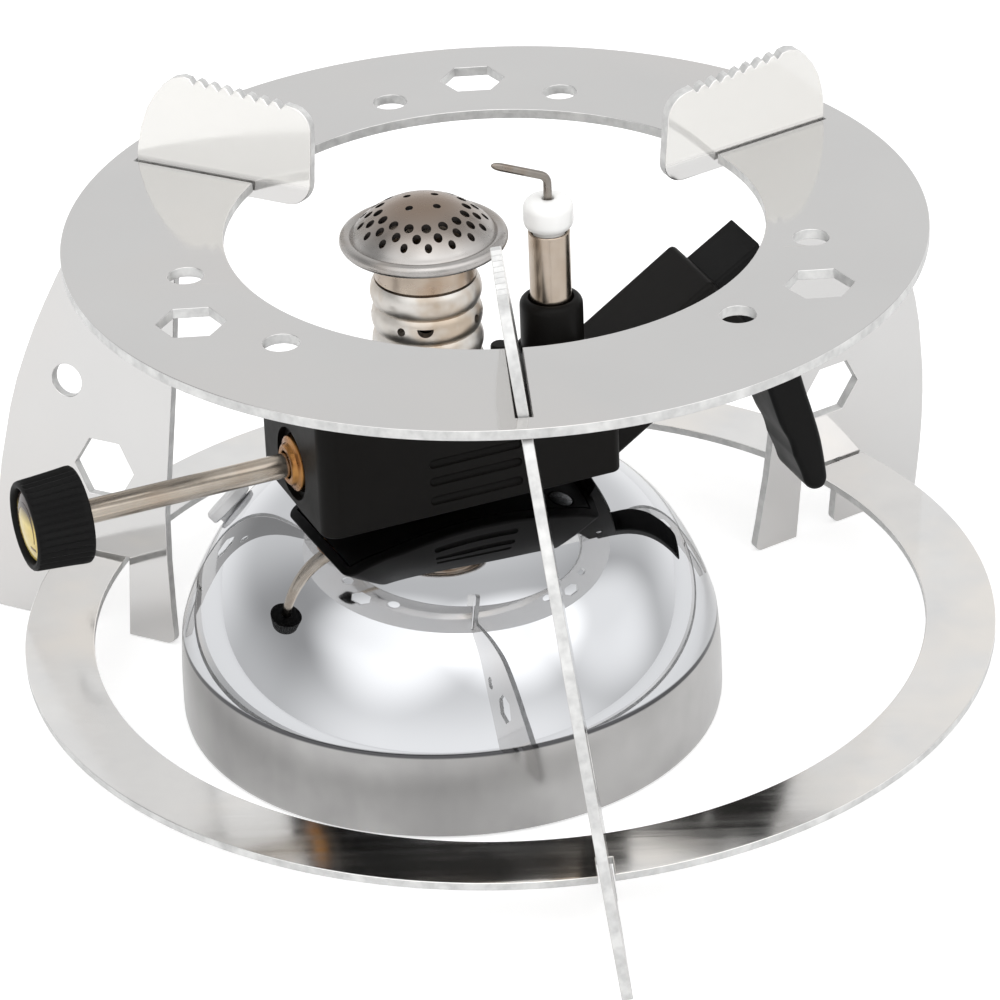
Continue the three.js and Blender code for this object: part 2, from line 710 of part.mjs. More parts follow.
function capDome() {
  const height = level.apex - level.domeLow;
  const sphere = (cap.dome ** 2 + height ** 2) / (2 * height);
  const sweep = THREE.MathUtils.radToDeg(Math.asin(cap.dome / sphere));
  const centre = level.apex - sphere;
  const outer = arc(0, centre, sphere, 90 - sweep, 90, cap.domeSteps);
  const inner = arc(0, centre, sphere - cap.skin, 90, 90 - sweep, cap.domeSteps);
  outer[cap.domeSteps][0] = 0;
  inner[0][0] = 0;
  const loop = [...outer, ...inner].map((point, i, all) => all[(i + cap.domeSteps + 1) % all.length]);
  let solid = turned(loop, cap.sides);
  const bead = arc(cap.beadOrbit, level.bead, cap.bead, 0, 360 - 360 / cap.beadSteps, cap.beadSteps - 1);
  solid = solid.add(turned(bead, cap.sides));
  for (const { orbit, count, phase, radius } of capRings) {
    for (let i = 0; i < count; i += 1) {
      const hole = prism(radius, level.domeLow, level.apex + overrun, holeSides);
      solid = solid.subtract(hole.translate([orbit, 0, 0]).rotate([0, 0, phase + (360 / count) * i]));
    }
  }
  return solid.translate([tube.x, 0, 0]);
}
burnerPiece('burner_cap', capDome(), steel());

// Igniter
const atSpark = (solid) => solid.translate([spark.x, 0, 0]);
const socketBore = spark.sleeve + gap;
burnerPiece('igniter_socket', atSpark(turned([
  [spark.lead + gap, level.cellTop + spark.spigotRise],
  [spark.spigot, level.cellTop + spark.spigotRise],
  [spark.spigot, level.bodyTop],
  [spark.socket, level.bodyTop],
  [spark.socket, level.bodyTop + spark.shoulderRise],
  ...arc(spark.socket - gap, level.bodyTop + spark.shoulderRise, gap, ...spark.shoulderTurn, 1),
  [(spark.socket + socketBore) / 2, level.bodyTop + spark.socketRise - gap],
  [socketBore, level.bodyTop + spark.socketRise],
  [socketBore, level.bodyTop + spark.sleeveFoot - gap],
  [spark.lead + gap, level.bodyTop + spark.sleeveFoot - gap],
], midSides)), blackPlastic());
const sleeveFoot = level.bodyTop + spark.sleeveFoot;
const sleeveTop = level.bodyTop + spark.sleeveRise;
const sleeve = ring(spark.sleeve - spark.sleeveSkin, spark.sleeve, sleeveFoot, sleeveTop, midSides);
burnerPiece('igniter_tube', atSpark(sleeve), steel());
const wireBore = spark.wire + gap;
burnerPiece('igniter_insulator', atSpark(turned([
  [wireBore, level.bodyTop + spark.stemFoot],
  [spark.stem, level.bodyTop + spark.stemFoot],
  [spark.stem, level.beadLow],
  ...arc(spark.bead - spark.beadRound, level.beadLow + spark.beadRound, spark.beadRound, -90, 0, 2),
  ...arc(spark.bead - spark.beadRound, level.beadTop - spark.beadRound, spark.beadRound, 0, 90, 2),
  [wireBore, level.beadTop],
], midSides)), ceramic());

function electrodeWire() {
  const top = new THREE.Vector3(spark.x, level.bodyTop + spark.bend, 0);
  const tip = new THREE.Vector3(spark.tipX, level.bodyTop + spark.tipRise, 0);
  const toTip = tip.clone().sub(top).normalize();
  const foot = new THREE.Vector3(spark.x, level.bodyTop + spark.wireFoot, 0);
  const below = new THREE.Vector3(spark.x, level.bodyTop + spark.bend - spark.bendRadius, 0);
  const after = top.clone().addScaledVector(toTip, spark.bendRadius);
  const taper = tip.clone().addScaledVector(toTip, -spark.tipTaper);
  const middle = below.clone().lerp(after, spark.bendShare).lerp(top, spark.bendShare);
  const route = [foot, below, middle, after, taper, tip];
  let solid = null;
  route.slice(1).forEach((end, i) => {
    const start = route[i];
    const length = end.distanceTo(start);
    const endRadius = end === tip ? spark.point : spark.wire;
    const geometry = new THREE.CylinderGeometry(endRadius, spark.wire, length, holeSides);
    geometry.translate(0, length / 2, 0);
    const ball = new THREE.SphereGeometry(spark.wire, holeSides, holeSides / 2);
    const along = end.clone().sub(start).normalize();
    const turn = new THREE.Quaternion().setFromUnitVectors(new THREE.Vector3(0, 1, 0), along);
    const bar = solidFrom(geometry.applyQuaternion(turn).translate(start.x, start.y, 0));
    const joint = i ? solidFrom(ball.translate(start.x, start.y, 0)) : bar;
    solid = solid ? solid.add(bar).add(joint) : bar;
  });
  return solid.rotate([90, 0, 0]);
}
burnerPiece('electrode', electrodeWire(), steel());
const lead = post(spark.lead, level.cellTop, level.bodyTop + spark.wireFoot - gap, holeSides);
burnerPiece('igniter_lead', atSpark(lead), rubber());

// Piezo unit with its plunger
burnerPiece('piezo_unit', alongX(turned([
  [0, piezo.back],
  [piezo.radius, piezo.back],
  [piezo.radius, piezo.front - piezo.noseLength],
  [piezo.nose, piezo.front - piezo.noseLength],
  [piezo.nose, piezo.front],
  [piezo.bore, piezo.front],
  [piezo.bore, piezo.boreEnd],
  [0, piezo.boreEnd],
], midSides), level.rod), blackPlastic());
const plungerFront = pivot.x + trigger.padX - trigger.pad - gap;
burnerPiece('piezo_plunger', alongX(turned([
  [0, plunger.back],
  [plunger.radius, plunger.back],
  [plunger.radius, plungerFront - plunger.dome],
  [plunger.radius - plunger.dome, plungerFront],
  [0, plungerFront],
], smallSides), level.rod), blackPlastic());

// Lever and its pin
function leverBody() {
  const scale = ([x, z]) => [x * trigger.reach, z * trigger.drop];
  let solid = slab(toShape(leverShares.map(scale)), trigger.half, 1);
  solid = solid.subtract(slab(toShape(hollowShares.map(scale)), trigger.hollowHalf, 1));
  solid = solid.add(crossPin(trigger.boss, trigger.half));
  const turn = Math.atan2(trigger.padZ, trigger.padX);
  const aside = [Math.sin(turn) * trigger.web, -Math.cos(turn) * trigger.web];
  const strip = [
    [aside[0], aside[1]], [trigger.padX + aside[0], trigger.padZ + aside[1]],
    [trigger.padX - aside[0], trigger.padZ - aside[1]], [-aside[0], -aside[1]],
  ];
  solid = solid.add(slab(toShape(strip), trigger.padHalf, 1));
  solid = solid.add(crossPin(trigger.pad, trigger.padHalf).translate([trigger.padX, 0, trigger.padZ]));
  return atPivot(solid.subtract(crossPin(trigger.pin + gap, arm.half)));
}
burnerPiece('lever', leverBody(), blackPlastic());
burnerPiece('lever_pin', atPivot(crossPin(trigger.pin, arm.half)), steel());

export default group;
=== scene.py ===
import math
import bpy
from mathutils import Matrix, Vector


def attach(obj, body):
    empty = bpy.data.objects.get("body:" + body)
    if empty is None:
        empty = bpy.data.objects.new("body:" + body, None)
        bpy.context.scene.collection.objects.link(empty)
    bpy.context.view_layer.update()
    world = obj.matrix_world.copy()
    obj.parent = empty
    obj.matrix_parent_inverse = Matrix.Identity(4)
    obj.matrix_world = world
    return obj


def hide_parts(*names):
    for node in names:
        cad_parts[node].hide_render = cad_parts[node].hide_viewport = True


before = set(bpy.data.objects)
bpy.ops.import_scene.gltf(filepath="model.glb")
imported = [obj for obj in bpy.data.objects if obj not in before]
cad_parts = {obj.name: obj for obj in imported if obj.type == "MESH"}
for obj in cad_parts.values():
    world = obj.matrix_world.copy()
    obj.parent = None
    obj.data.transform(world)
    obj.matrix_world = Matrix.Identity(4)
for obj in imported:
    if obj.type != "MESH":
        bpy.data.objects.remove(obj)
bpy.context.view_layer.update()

mm = 0.001
seatGap = 0.3
weldGap = 0.01
cutFaceTilt = 0.35
noiseRoughness = 0.55
noiseDetail = {"lines": 3, "clouds": 4, "smears": 5}
facets = {"widest": 128, "wide": 96, "bead": 72, "middle": 64, "small": 48, "pin": 40,
          "post": 32, "screw": 24, "dot": 20}
bevelSteps = 3
smoothTurns = {"plain": 32, "domed": 40, "ribbed": 50, "thin": 60}
flatWeight = 90

# Camera, matched to the photograph
cameraSetup = {"lens": 170.85, "sensor": 36, "place": (0, -0.5904, 0.3631), "yaw": -0.07, "pitch": 29.39,
               "roll": -2.286, "farEnd": 20}


def makeCamera():
    yaw, pitch, roll = (math.radians(cameraSetup[turn]) for turn in ("yaw", "pitch", "roll"))
    forward = Vector((math.sin(yaw) * math.cos(pitch), math.cos(yaw) * math.cos(pitch), -math.sin(pitch)))
    right = forward.cross(Vector((0, 0, 1))).normalized()
    up = right.cross(forward)
    rolledRight = right * math.cos(roll) + up * math.sin(roll)
    rolledUp = up * math.cos(roll) - right * math.sin(roll)
    bpy.ops.object.camera_add(location=cameraSetup["place"])
    camera = bpy.context.object
    camera.rotation_euler = Matrix((rolledRight, rolledUp, -forward)).transposed().to_euler()
    camera.data.sensor_width = cameraSetup["sensor"]
    camera.data.lens = cameraSetup["lens"]
    camera.data.clip_end = cameraSetup["farEnd"]
    bpy.context.scene.camera = camera


makeCamera()
bpy.context.scene.view_settings.view_transform = "Standard"
print("camera in place")


# Inputs of a shader node are set to plain values or linked to other nodes' outputs
def setInputs(tree, node, inputs):
    for socket, value in inputs.items():
        if isinstance(value, bpy.types.NodeSocket):
            tree.links.new(value, node.inputs[socket])
        else:
            node.inputs[socket].default_value = value


def addNode(tree, kind, inputs, **settings):
    node = tree.nodes.new("ShaderNode" + kind)
    for setting, value in settings.items():
        setattr(node, setting, value)
    setInputs(tree, node, inputs)
    return node


def addSum(tree, first, second):
    return addNode(tree, "Math", {0: first, 1: second}, operation="ADD").outputs[0]


def addRange(tree, value, low, high, toLow, toHigh, kind="LINEAR"):
    limits = {"Value": value, "From Min": low, "From Max": high, "To Min": toLow, "To Max": toHigh}
    return addNode(tree, "MapRange", limits, interpolation_type=kind).outputs["Result"]


def addNoise(tree, vector, scale, detail):
    grain = {"Vector": vector, "Scale": scale, "Detail": detail, "Roughness": noiseRoughness}
    return addNode(tree, "TexNoise", grain).outputs["Fac"]


def mixColors(tree, factor, first, second):
    first, second = ((*color, 1) if isinstance(color, tuple) else color for color in (first, second))
    mix = addNode(tree, "Mix", {"Factor": factor, "A": first, "B": second}, data_type="RGBA")
    return mix.outputs["Result"]


def addBump(tree, height, strength, depth):
    bump = addNode(tree, "Bump", {"Height": height, "Strength": strength, "Distance": depth * mm})
    return bump.outputs["Normal"]


# Soft mask that grows with height, for heat stains and for painted light and shade
def addHeightMask(tree, coords, low, high):
    height = addNode(tree, "SeparateXYZ", {0: coords}).outputs["Z"]
    return addRange(tree, height, low * mm, high * mm, 0, 1)


def newFinish(name):
    material = bpy.data.materials.new(name)
    material.use_nodes = True
    tree = material.node_tree
    return material, tree, tree.nodes["Principled BSDF"]


def surfacePlace(tree):
    return addNode(tree, "TexCoord", {}).outputs["Object"]


# Studio: pale floor that runs to white, a soft world with wide bright patches, one lamp
studio = {
    "floorSize": 8,
    "floorColor": (0.64, 0.64, 0.64),
    "floorRoughness": 0.9,
    "floorGlow": {"Is Camera Ray": 0.6, "Is Glossy Ray": 0.3, "Is Transmission Ray": 0.3},
    "sky": [  # side walls to rear wall, front wall, glow at the horizon
        {"along": "Y", "low": 0.15, "high": 0.8, "from": 0.42, "to": 0.84},
        {"along": "Y", "low": -0.2, "high": -0.9, "from": 0, "to": 0.53},
        {"along": "Z", "low": 0.42, "high": 0.02, "from": 0, "to": 0.28},
    ],
    "patches": [
        {"azimuth": 236, "elevation": 50, "inner": 14, "outer": 40, "brightness": 0.8},
        {"azimuth": 308, "elevation": 50, "inner": 16, "outer": 36, "brightness": 0.9},
        {"azimuth": 354, "elevation": 30, "inner": 10, "outer": 34, "brightness": 0.75},
        {"azimuth": 270, "elevation": 88, "inner": 10, "outer": 48, "brightness": 0.3},
    ],
    "lampSize": 1.3,
    "lampBrightness": 0.8,
    "lampPlace": (-0.45, -0.6, 1.1),
}


def makeWorld():
    world = bpy.data.worlds.new("studioWorld")
    bpy.context.scene.world = world
    world.use_nodes = True
    tree = world.node_tree
    view = addNode(tree, "TexCoord", {}).outputs["Generated"]
    split = addNode(tree, "SeparateXYZ", {0: view})
    levels = []
    for wall in studio["sky"]:
        limits = (wall[key] for key in ("low", "high", "from", "to"))
        levels.append(addRange(tree, split.outputs[wall["along"]], *limits, "SMOOTHSTEP"))
    for patch in studio["patches"]:
        azimuth, elevation = math.radians(patch["azimuth"]), math.radians(patch["elevation"])
        flat = math.cos(elevation)
        middle = (flat * math.cos(azimuth), flat * math.sin(azimuth), math.sin(elevation))
        facing = addNode(tree, "VectorMath", {0: view, 1: middle}, operation="DOT_PRODUCT").outputs["Value"]
        inner, outer = (math.cos(math.radians(patch[edge])) for edge in ("inner", "outer"))
        levels.append(addRange(tree, facing, outer, inner, 0, patch["brightness"], "SMOOTHSTEP"))
    total = levels[0]
    for level in levels[1:]:
        total = addSum(tree, total, level)
    seen = addNode(tree, "LightPath", {}).outputs["Is Camera Ray"]
    strength = addNode(tree, "Mix", {"Factor": seen, "A": total, "B": 1}).outputs["Result"]
    setInputs(tree, tree.nodes["Background"], {"Color": (1, 1, 1, 1), "Strength": strength})


def makeLamp():
    bpy.ops.object.light_add(type="AREA", location=studio["lampPlace"])
    lamp = bpy.context.object
    lamp.name = "keyLamp"
    lamp.data.size = studio["lampSize"]
    lamp.data.energy = studio["lampBrightness"] * math.pi * studio["lampSize"] ** 2
    lamp.rotation_euler = (-Vector(studio["lampPlace"])).to_track_quat("-Z", "Y").to_euler()
    lamp.visible_glossy = False  # the world's patches are what metal mirrors


def makeFloor():
    bpy.ops.mesh.primitive_plane_add(size=studio["floorSize"])
    floor = bpy.context.object
    floor.name = "floor"
    paint, tree, shader = newFinish("floorPaint")
    path = addNode(tree, "LightPath", {})
    glow = 0
    for ray, share in studio["floorGlow"].items():
        part = addNode(tree, "Math", {0: path.outputs[ray], 1: share, 2: glow}, operation="MULTIPLY_ADD")
        glow = part.outputs[0]
    setInputs(tree, shader, {
        "Base Color": (*studio["floorColor"], 1), "Roughness": studio["floorRoughness"],
        "Specular IOR Level": 0, "Emission Color": (1, 1, 1, 1), "Emission Strength": glow,
    })
    floor.data.materials.append(paint)


makeWorld()
makeLamp()
makeFloor()
print("studio ready")


# Small modelling steps shared by the pieces
def clearSelection():
    bpy.ops.object.select_all(action="DESELECT")


def setMode(mode):
    bpy.ops.object.mode_set(mode=mode)


def pick(piece):
    clearSelection()
    piece.select_set(True)
    bpy.context.view_layer.objects.active = piece


def editAll(piece):
    pick(piece)
    setMode("EDIT")
    bpy.ops.mesh.select_all(action="SELECT")


def applyPlace(piece):
    pick(piece)
    bpy.ops.object.transform_apply(location=True, rotation=True, scale=True)


def applyModifier(piece, kind, **settings):
    pick(piece)
    modifier = piece.modifiers.new(kind.lower(), kind)
    for setting, value in settings.items():
        setattr(modifier, setting, value)
    bpy.ops.object.modifier_apply(modifier=modifier.name)


def faceOutwards(piece):
    editAll(piece)
    bpy.ops.mesh.remove_doubles(threshold=weldGap * mm)
    bpy.ops.mesh.normals_make_consistent(inside=False)
    setMode("OBJECT")


def joinPieces(pieces):
    pick(pieces[0])
    for other in pieces[1:]:
        other.select_set(True)
    bpy.ops.object.join()
    return bpy.context.object


def combine(piece, tool, operation="DIFFERENCE"):
    applyModifier(piece, "BOOLEAN", object=tool, operation=operation, solver="EXACT")
    pick(tool)
    bpy.ops.object.delete()


# Select vertices or edges in edit mode by a test on their place in millimetres
def selectWhere(piece, kind, test):
    pick(piece)
    setMode("EDIT")
    bpy.ops.mesh.select_mode(type=kind)
    bpy.ops.mesh.select_all(action="DESELECT")
    setMode("OBJECT")
    mesh = piece.data
    if kind == "VERT":
        for vertex in mesh.vertices:
            vertex.select = test(vertex.co / mm)
    else:
        for edge in mesh.edges:
            start, end = (mesh.vertices[i].co / mm for i in edge.vertices)
            edge.select = test(start, end)
    setMode("EDIT")


def isLevel(start, end):
    return abs(start.z - end.z) < weldGap


def isUpright(start, end):
    return abs(start.z - end.z) > 1


def bevelWhere(piece, width, test, steps=bevelSteps):
    selectWhere(piece, "EDGE", test)
    bpy.ops.mesh.bevel(offset=width * mm, segments=steps, affect="EDGES")
    setMode("OBJECT")


# Cut a piece flat at a plane and keep the side its normal points to
def trimPiece(piece, place, normal):
    editAll(piece)
    spot = [value * mm for value in place]
    bpy.ops.mesh.bisect(plane_co=spot, plane_no=normal, use_fill=True, clear_inner=True)
    setMode("OBJECT")


def copyPiece(piece):
    pick(piece)
    bpy.ops.object.duplicate()
    return bpy.context.object


# A round piece: a circle is extruded ring by ring through (radius, height) pairs, about +Z
def turnPiece(name, rings, sides, closed=False):
    clearSelection()
    radius, height = rings[0]
    bpy.ops.mesh.primitive_circle_add(vertices=sides, radius=radius * mm, location=(0, 0, height * mm))
    piece = bpy.context.object
    piece.name = name
    applyPlace(piece)
    editAll(piece)
    for nextRadius, nextHeight in rings[1:]:
        bpy.ops.mesh.extrude_region_move(TRANSFORM_OT_translate={"value": (0, 0, (nextHeight - height) * mm)})
        share = nextRadius / radius
        bpy.ops.transform.resize(value=(share, share, 1), center_override=(0, 0, nextHeight * mm))
        radius, height = nextRadius, nextHeight
    bpy.ops.mesh.select_all(action="DESELECT")
    bpy.ops.mesh.select_mode(type="VERT")
    bpy.ops.mesh.select_non_manifold(extend=False)
    if closed:
        bpy.ops.mesh.select_mode(type="EDGE")
        bpy.ops.mesh.select_non_manifold(extend=False)
        bpy.ops.mesh.bridge_edge_loops()
    else:
        bpy.ops.mesh.fill_holes(sides=0)
    setMode("OBJECT")
    faceOutwards(piece)
    return piece


# Points of an arc in an outline, or rings of a rounded edge on a turned piece
def arcPoints(x, y, radius, fromTurn, toTurn, steps):
    points = []
    for i in range(steps + 1):
        turn = math.radians(fromTurn + (toTurn - fromTurn) * i / steps)
        points.append((x + radius * math.cos(turn), y + radius * math.sin(turn)))
    return points


# A curve through points (x, y, z, share of its width), made into a mesh
def curvePiece(name, lines, closed, **settings):
    clearSelection()
    bpy.ops.curve.primitive_bezier_circle_add(radius=mm)
    piece = bpy.context.object
    piece.name = name
    curve = piece.data
    curve.splines.clear()
    for setting, value in settings.items():
        setattr(curve, setting, value)
    for points in lines:
        spline = curve.splines.new("POLY")
        spline.points.add(len(points) - 1)
        spline.use_cyclic_u = closed
        for point, (x, y, z, share) in zip(spline.points, points):
            point.co = (x * mm, y * mm, z * mm, 1)
            point.radius = share
    bpy.ops.object.convert(target="MESH")
    piece = bpy.context.object
    faceOutwards(piece)
    return piece


# A piece cut from sheet: a flat curve with its holes, given thickness and a fine rounded edge
def sheetPiece(name, outline, holes, thickness, edge, edgeSteps=2):
    lines = [[(x, y, 0, 1) for x, y in points] for points in (outline, *holes)]
    piece = curvePiece(name, lines, True, dimensions="2D", fill_mode="BOTH", offset=-edge * mm,
                       extrude=(thickness / 2 - edge) * mm, bevel_depth=edge * mm, bevel_resolution=edgeSteps)
    for face in piece.data.polygons:
        face.material_index = int(abs(face.normal.z) < cutFaceTilt)
    return piece


def boxPiece(name, low, high):
    clearSelection()
    size = [(b - a) * mm for a, b in zip(low, high)]
    middle = [(a + b) / 2 * mm for a, b in zip(low, high)]
    bpy.ops.mesh.primitive_cube_add(size=1, location=middle)
    piece = bpy.context.object
    piece.name = name
    piece.scale = size
    applyPlace(piece)
    return piece


def barPiece(name, radius, low, high, sides):
    clearSelection()
    bpy.ops.mesh.primitive_cylinder_add(vertices=sides, radius=radius * mm, depth=(high - low) * mm,
                                        location=(0, 0, (low + high) / 2 * mm))
    piece = bpy.context.object
    piece.name = name
    applyPlace(piece)
    return piece


def turnedPoint(radius, turn, side=0):
    a = math.radians(turn)
    return (radius * math.cos(a) - side * math.sin(a), radius * math.sin(a) + side * math.cos(a))


# Burner pieces are modelled on the tank's own axis, then turned and moved to their place
burnerPlace = {"x": -8.6, "y": -2, "turn": 22.4}


def setInStand(piece):
    piece.rotation_euler = (0, 0, math.radians(burnerPlace["turn"]))
    piece.location = (burnerPlace["x"] * mm, burnerPlace["y"] * mm, 0)
    applyPlace(piece)


def layAlongRod(piece, height):
    piece.rotation_euler = (0, math.pi / 2, 0)
    piece.location = (0, 0, height * mm)
    applyPlace(piece)


# Turn a piece drawn flat so that its outline stands in the plane of the rod and lever
def standUp(piece):
    piece.rotation_euler = (math.pi / 2, 0, 0)
    applyPlace(piece)


def moveTo(piece, x, y, z):
    piece.location = (x * mm, y * mm, z * mm)
    applyPlace(piece)


def finishPiece(piece, looks, body, nodes=(), smooth="plain", flats=False):
    pick(piece)
    bpy.ops.object.shade_smooth_by_angle(angle=math.radians(smoothTurns[smooth]))
    if flats:
        applyModifier(piece, "WEIGHTED_NORMAL", keep_sharp=True, weight=flatWeight)
    for look in looks:
        piece.data.materials.append(finishes[look])
    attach(piece, body)
    if nodes:
        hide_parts(*nodes)


# A burner piece that is only turned, on an axis x from the tank's
def makeTurned(name, rings, sides, finish, node, x=0, smooth="plain"):
    piece = turnPiece(name, rings, facets[sides], closed=True)
    moveTo(piece, x, 0, 0)
    setInStand(piece)
    finishPiece(piece, [finish], "burner", [node], smooth=smooth)


grainStretch = (0.02, 1, 1)


# Long fine lines left by rolling or polishing, plus soft handling smears
def makeGrainGroup():
    group = bpy.data.node_groups.new("sheetGrain", "ShaderNodeTree")
    for way, socket, kind in (("INPUT", "Vector", "Vector"), ("INPUT", "Line Scale", "Float"),
                              ("INPUT", "Smear Scale", "Float"), ("OUTPUT", "Lines", "Float"),
                              ("OUTPUT", "Smears", "Float")):
        group.interface.new_socket(name=socket, in_out=way, socket_type="NodeSocket" + kind)
    start = group.nodes.new("NodeGroupInput").outputs
    end = group.nodes.new("NodeGroupOutput")
    stretch = addNode(group, "Mapping", {"Vector": start["Vector"], "Scale": grainStretch}).outputs["Vector"]
    lines = addNoise(group, stretch, start["Line Scale"], noiseDetail["lines"])
    smears = addNoise(group, start["Vector"], start["Smear Scale"], noiseDetail["smears"])
    setInputs(group, end, {"Lines": lines, "Smears": smears})
    return group


grainGroup = makeGrainGroup()

# Parts of a noise's range over which tints and gloss change, and how deep the bumps go
spread = {"tint": (0.48, 0.68), "tintMost": 0.8, "sheen": (0.7, 1.3), "blotch": (0.3, 0.7)}
bumpDepth = {"metal": 0.05, "plastic": 0.06}
plainBlotches = 90

# Metals: colour runs between two near shades with the smears and takes a tint in soft patches.
# The three grain numbers are the scales of the fine lines, the smears and the patches.
metalLooks = {
    "sheetSteel": {
        "dark": (0.655, 0.65, 0.645), "light": (0.715, 0.708, 0.7), "tint": (0.7, 0.68, 0.665),
        "gloss": (0.06, 0.12), "grain": (700, 38, 22), "bump": 0.008,
    },
    "baseSteel": {
        "dark": (0.72, 0.72, 0.725), "light": (0.96, 0.95, 0.93), "tint": (0.93, 0.89, 0.84),
        "gloss": (0.08, 0.16), "grain": (700, 60, 45), "bump": 0.012,
    },
    # Cut edges: a bright, partly diffuse tone that paints the glints of light on them, with mottled grain
    "cutEdge": {
        "dark": (0.42, 0.42, 0.42), "light": (0.8, 0.8, 0.79), "tint": (0.8, 0.8, 0.79),
        "gloss": (0.3, 0.5), "grain": (900, 800, 260), "bump": 0.12, "metal": 0.4,
    },
    "rodSteel": {
        "dark": (0.34, 0.29, 0.24), "light": (0.6, 0.55, 0.48), "tint": (0.42, 0.34, 0.27),
        "gloss": (0.14, 0.26), "grain": (800, 160, 120), "bump": 0.02,
    },
    "sleeveSteel": {
        "dark": (0.36, 0.29, 0.23), "light": (0.62, 0.54, 0.46), "tint": (0.42, 0.33, 0.25),
        "gloss": (0.18, 0.28), "grain": (800, 160, 120), "bump": 0.01,
    },
    "tubeSteel": {
        "dark": (0.5, 0.45, 0.39), "light": (0.86, 0.85, 0.83), "tint": (0.5, 0.4, 0.3),
        "gloss": (0.28, 0.44), "grain": (600, 230, 150), "bump": 0.1,
    },
    # Collar: dark browns, partly heat tint and partly painted shade under the cap
    "neckSteel": {
        "dark": (0.36, 0.29, 0.23), "light": (0.62, 0.54, 0.46), "tint": (0.38, 0.26, 0.17),
        "gloss": (0.24, 0.4), "grain": (600, 190, 150), "bump": 0.05,
    },
    "capSteel": {
        "dark": (0.34, 0.325, 0.31), "light": (0.54, 0.52, 0.505), "tint": (0.4, 0.35, 0.31),
        "gloss": (0.22, 0.34), "grain": (900, 210, 110), "bump": 0.06,
        "stain": {"color": (0.29, 0.225, 0.18), "low": 75.5, "high": 79.5},
    },
    # Near-black painted shade for the inside of the cap and its holes
    "capShadeSteel": {
        "dark": (0.03, 0.028, 0.026), "light": (0.09, 0.08, 0.075), "tint": (0.06, 0.045, 0.035),
        "gloss": (0.5, 0.7), "grain": (900, 300, 200), "bump": 0.05,
    },
    "wireSteel": {
        "dark": (0.2, 0.18, 0.16), "light": (0.38, 0.35, 0.32), "tint": (0.28, 0.23, 0.19),
        "gloss": (0.22, 0.38), "grain": (700, 400, 260), "bump": 0.05,
    },
    "brassParts": {
        "dark": (0.2, 0.075, 0.02), "light": (0.5, 0.26, 0.085), "tint": (0.3, 0.12, 0.04),
        "gloss": (0.18, 0.35), "grain": (900, 250, 170), "bump": 0.03,
    },
    "fillerSteel": {
        "dark": (0.62, 0.62, 0.63), "light": (0.74, 0.74, 0.75), "tint": (0.7, 0.7, 0.7),
        "gloss": (0.4, 0.55), "grain": (500, 120, 90), "bump": 0.02, "metal": 0.3,
    },
    "hiddenSteel": {
        "dark": (0.4, 0.4, 0.4), "light": (0.56, 0.56, 0.56), "tint": (0.5, 0.49, 0.47),
        "gloss": (0.2, 0.36), "grain": (500, 120, 90), "bump": 0.02,
    },
}

# The legs are cut from the rings' sheet, and above the upper ring their pan tabs are painted paler and less
# metallic: painted light where strong light falls on them
metalLooks["legSteel"] = {**metalLooks["sheetSteel"],
                          "pale": {"color": (0.85, 0.84, 0.815), "metal": 0.45, "low": 74.4, "high": 75.4}}


def makeMetal(name):
    look = metalLooks[name]
    material, tree, shader = newFinish(name)
    place = surfacePlace(tree)
    lineScale, smearScale, patchScale = look["grain"]
    grain = addNode(tree, "Group", {"Vector": place, "Line Scale": lineScale, "Smear Scale": smearScale},
                    node_tree=grainGroup).outputs
    color = mixColors(tree, grain["Smears"], look["dark"], look["light"])
    patches = addNoise(tree, place, patchScale, noiseDetail["lines"])
    patches = addRange(tree, patches, *spread["tint"], 0, spread["tintMost"])
    color = mixColors(tree, patches, color, look["tint"])
    metallic = look.get("metal", 1)
    # The cap's stain is heat tint; the legs' pale tabs are painted light
    for key in ("stain", "pale"):
        if key in look:
            above = addHeightMask(tree, place, look[key]["low"], look[key]["high"])
            color = mixColors(tree, above, color, look[key]["color"])
    if "pale" in look:
        metallic = addRange(tree, above, 0, 1, 1, look["pale"]["metal"])
    gloss = addRange(tree, addSum(tree, grain["Smears"], grain["Lines"]), *spread["sheen"], *look["gloss"])
    setInputs(tree, shader, {
        "Metallic": metallic, "Base Color": color, "Roughness": gloss,
        "Normal": addBump(tree, grain["Lines"], look["bump"], bumpDepth["metal"]),
    })
    return material


finishes = {name: makeMetal(name) for name in metalLooks}

chromeLook = {
    "dome": (0.66, 0.67, 0.69), "domeDark": (0.61, 0.62, 0.64), "domeGloss": 0.02,
    # line is the near-black painted shade along the crease, above the band
    "line": (0.1, 0.1, 0.105), "lineTop": 13.85, "lineLow": 13.15, "lineFade": 0.25,
    # The band's colours sit below the dome's partly for its satin finish and partly as painted shade of the
    # shadowed floor it mirrors
    "band": (0.47, 0.463, 0.457), "bandDark": (0.36, 0.355, 0.352), "bandPale": (0.62, 0.613, 0.607),
    "bandGloss": (0.08, 0.2), "streaks": 70, "streakStretch": (1, 1, 0.4), "streakSpread": (0.3, 0.7),
    "glossSpread": (0.35, 0.65), "smears": 30, "cloudSpread": (0.42, 0.68), "cloudMost": 0.8,
}
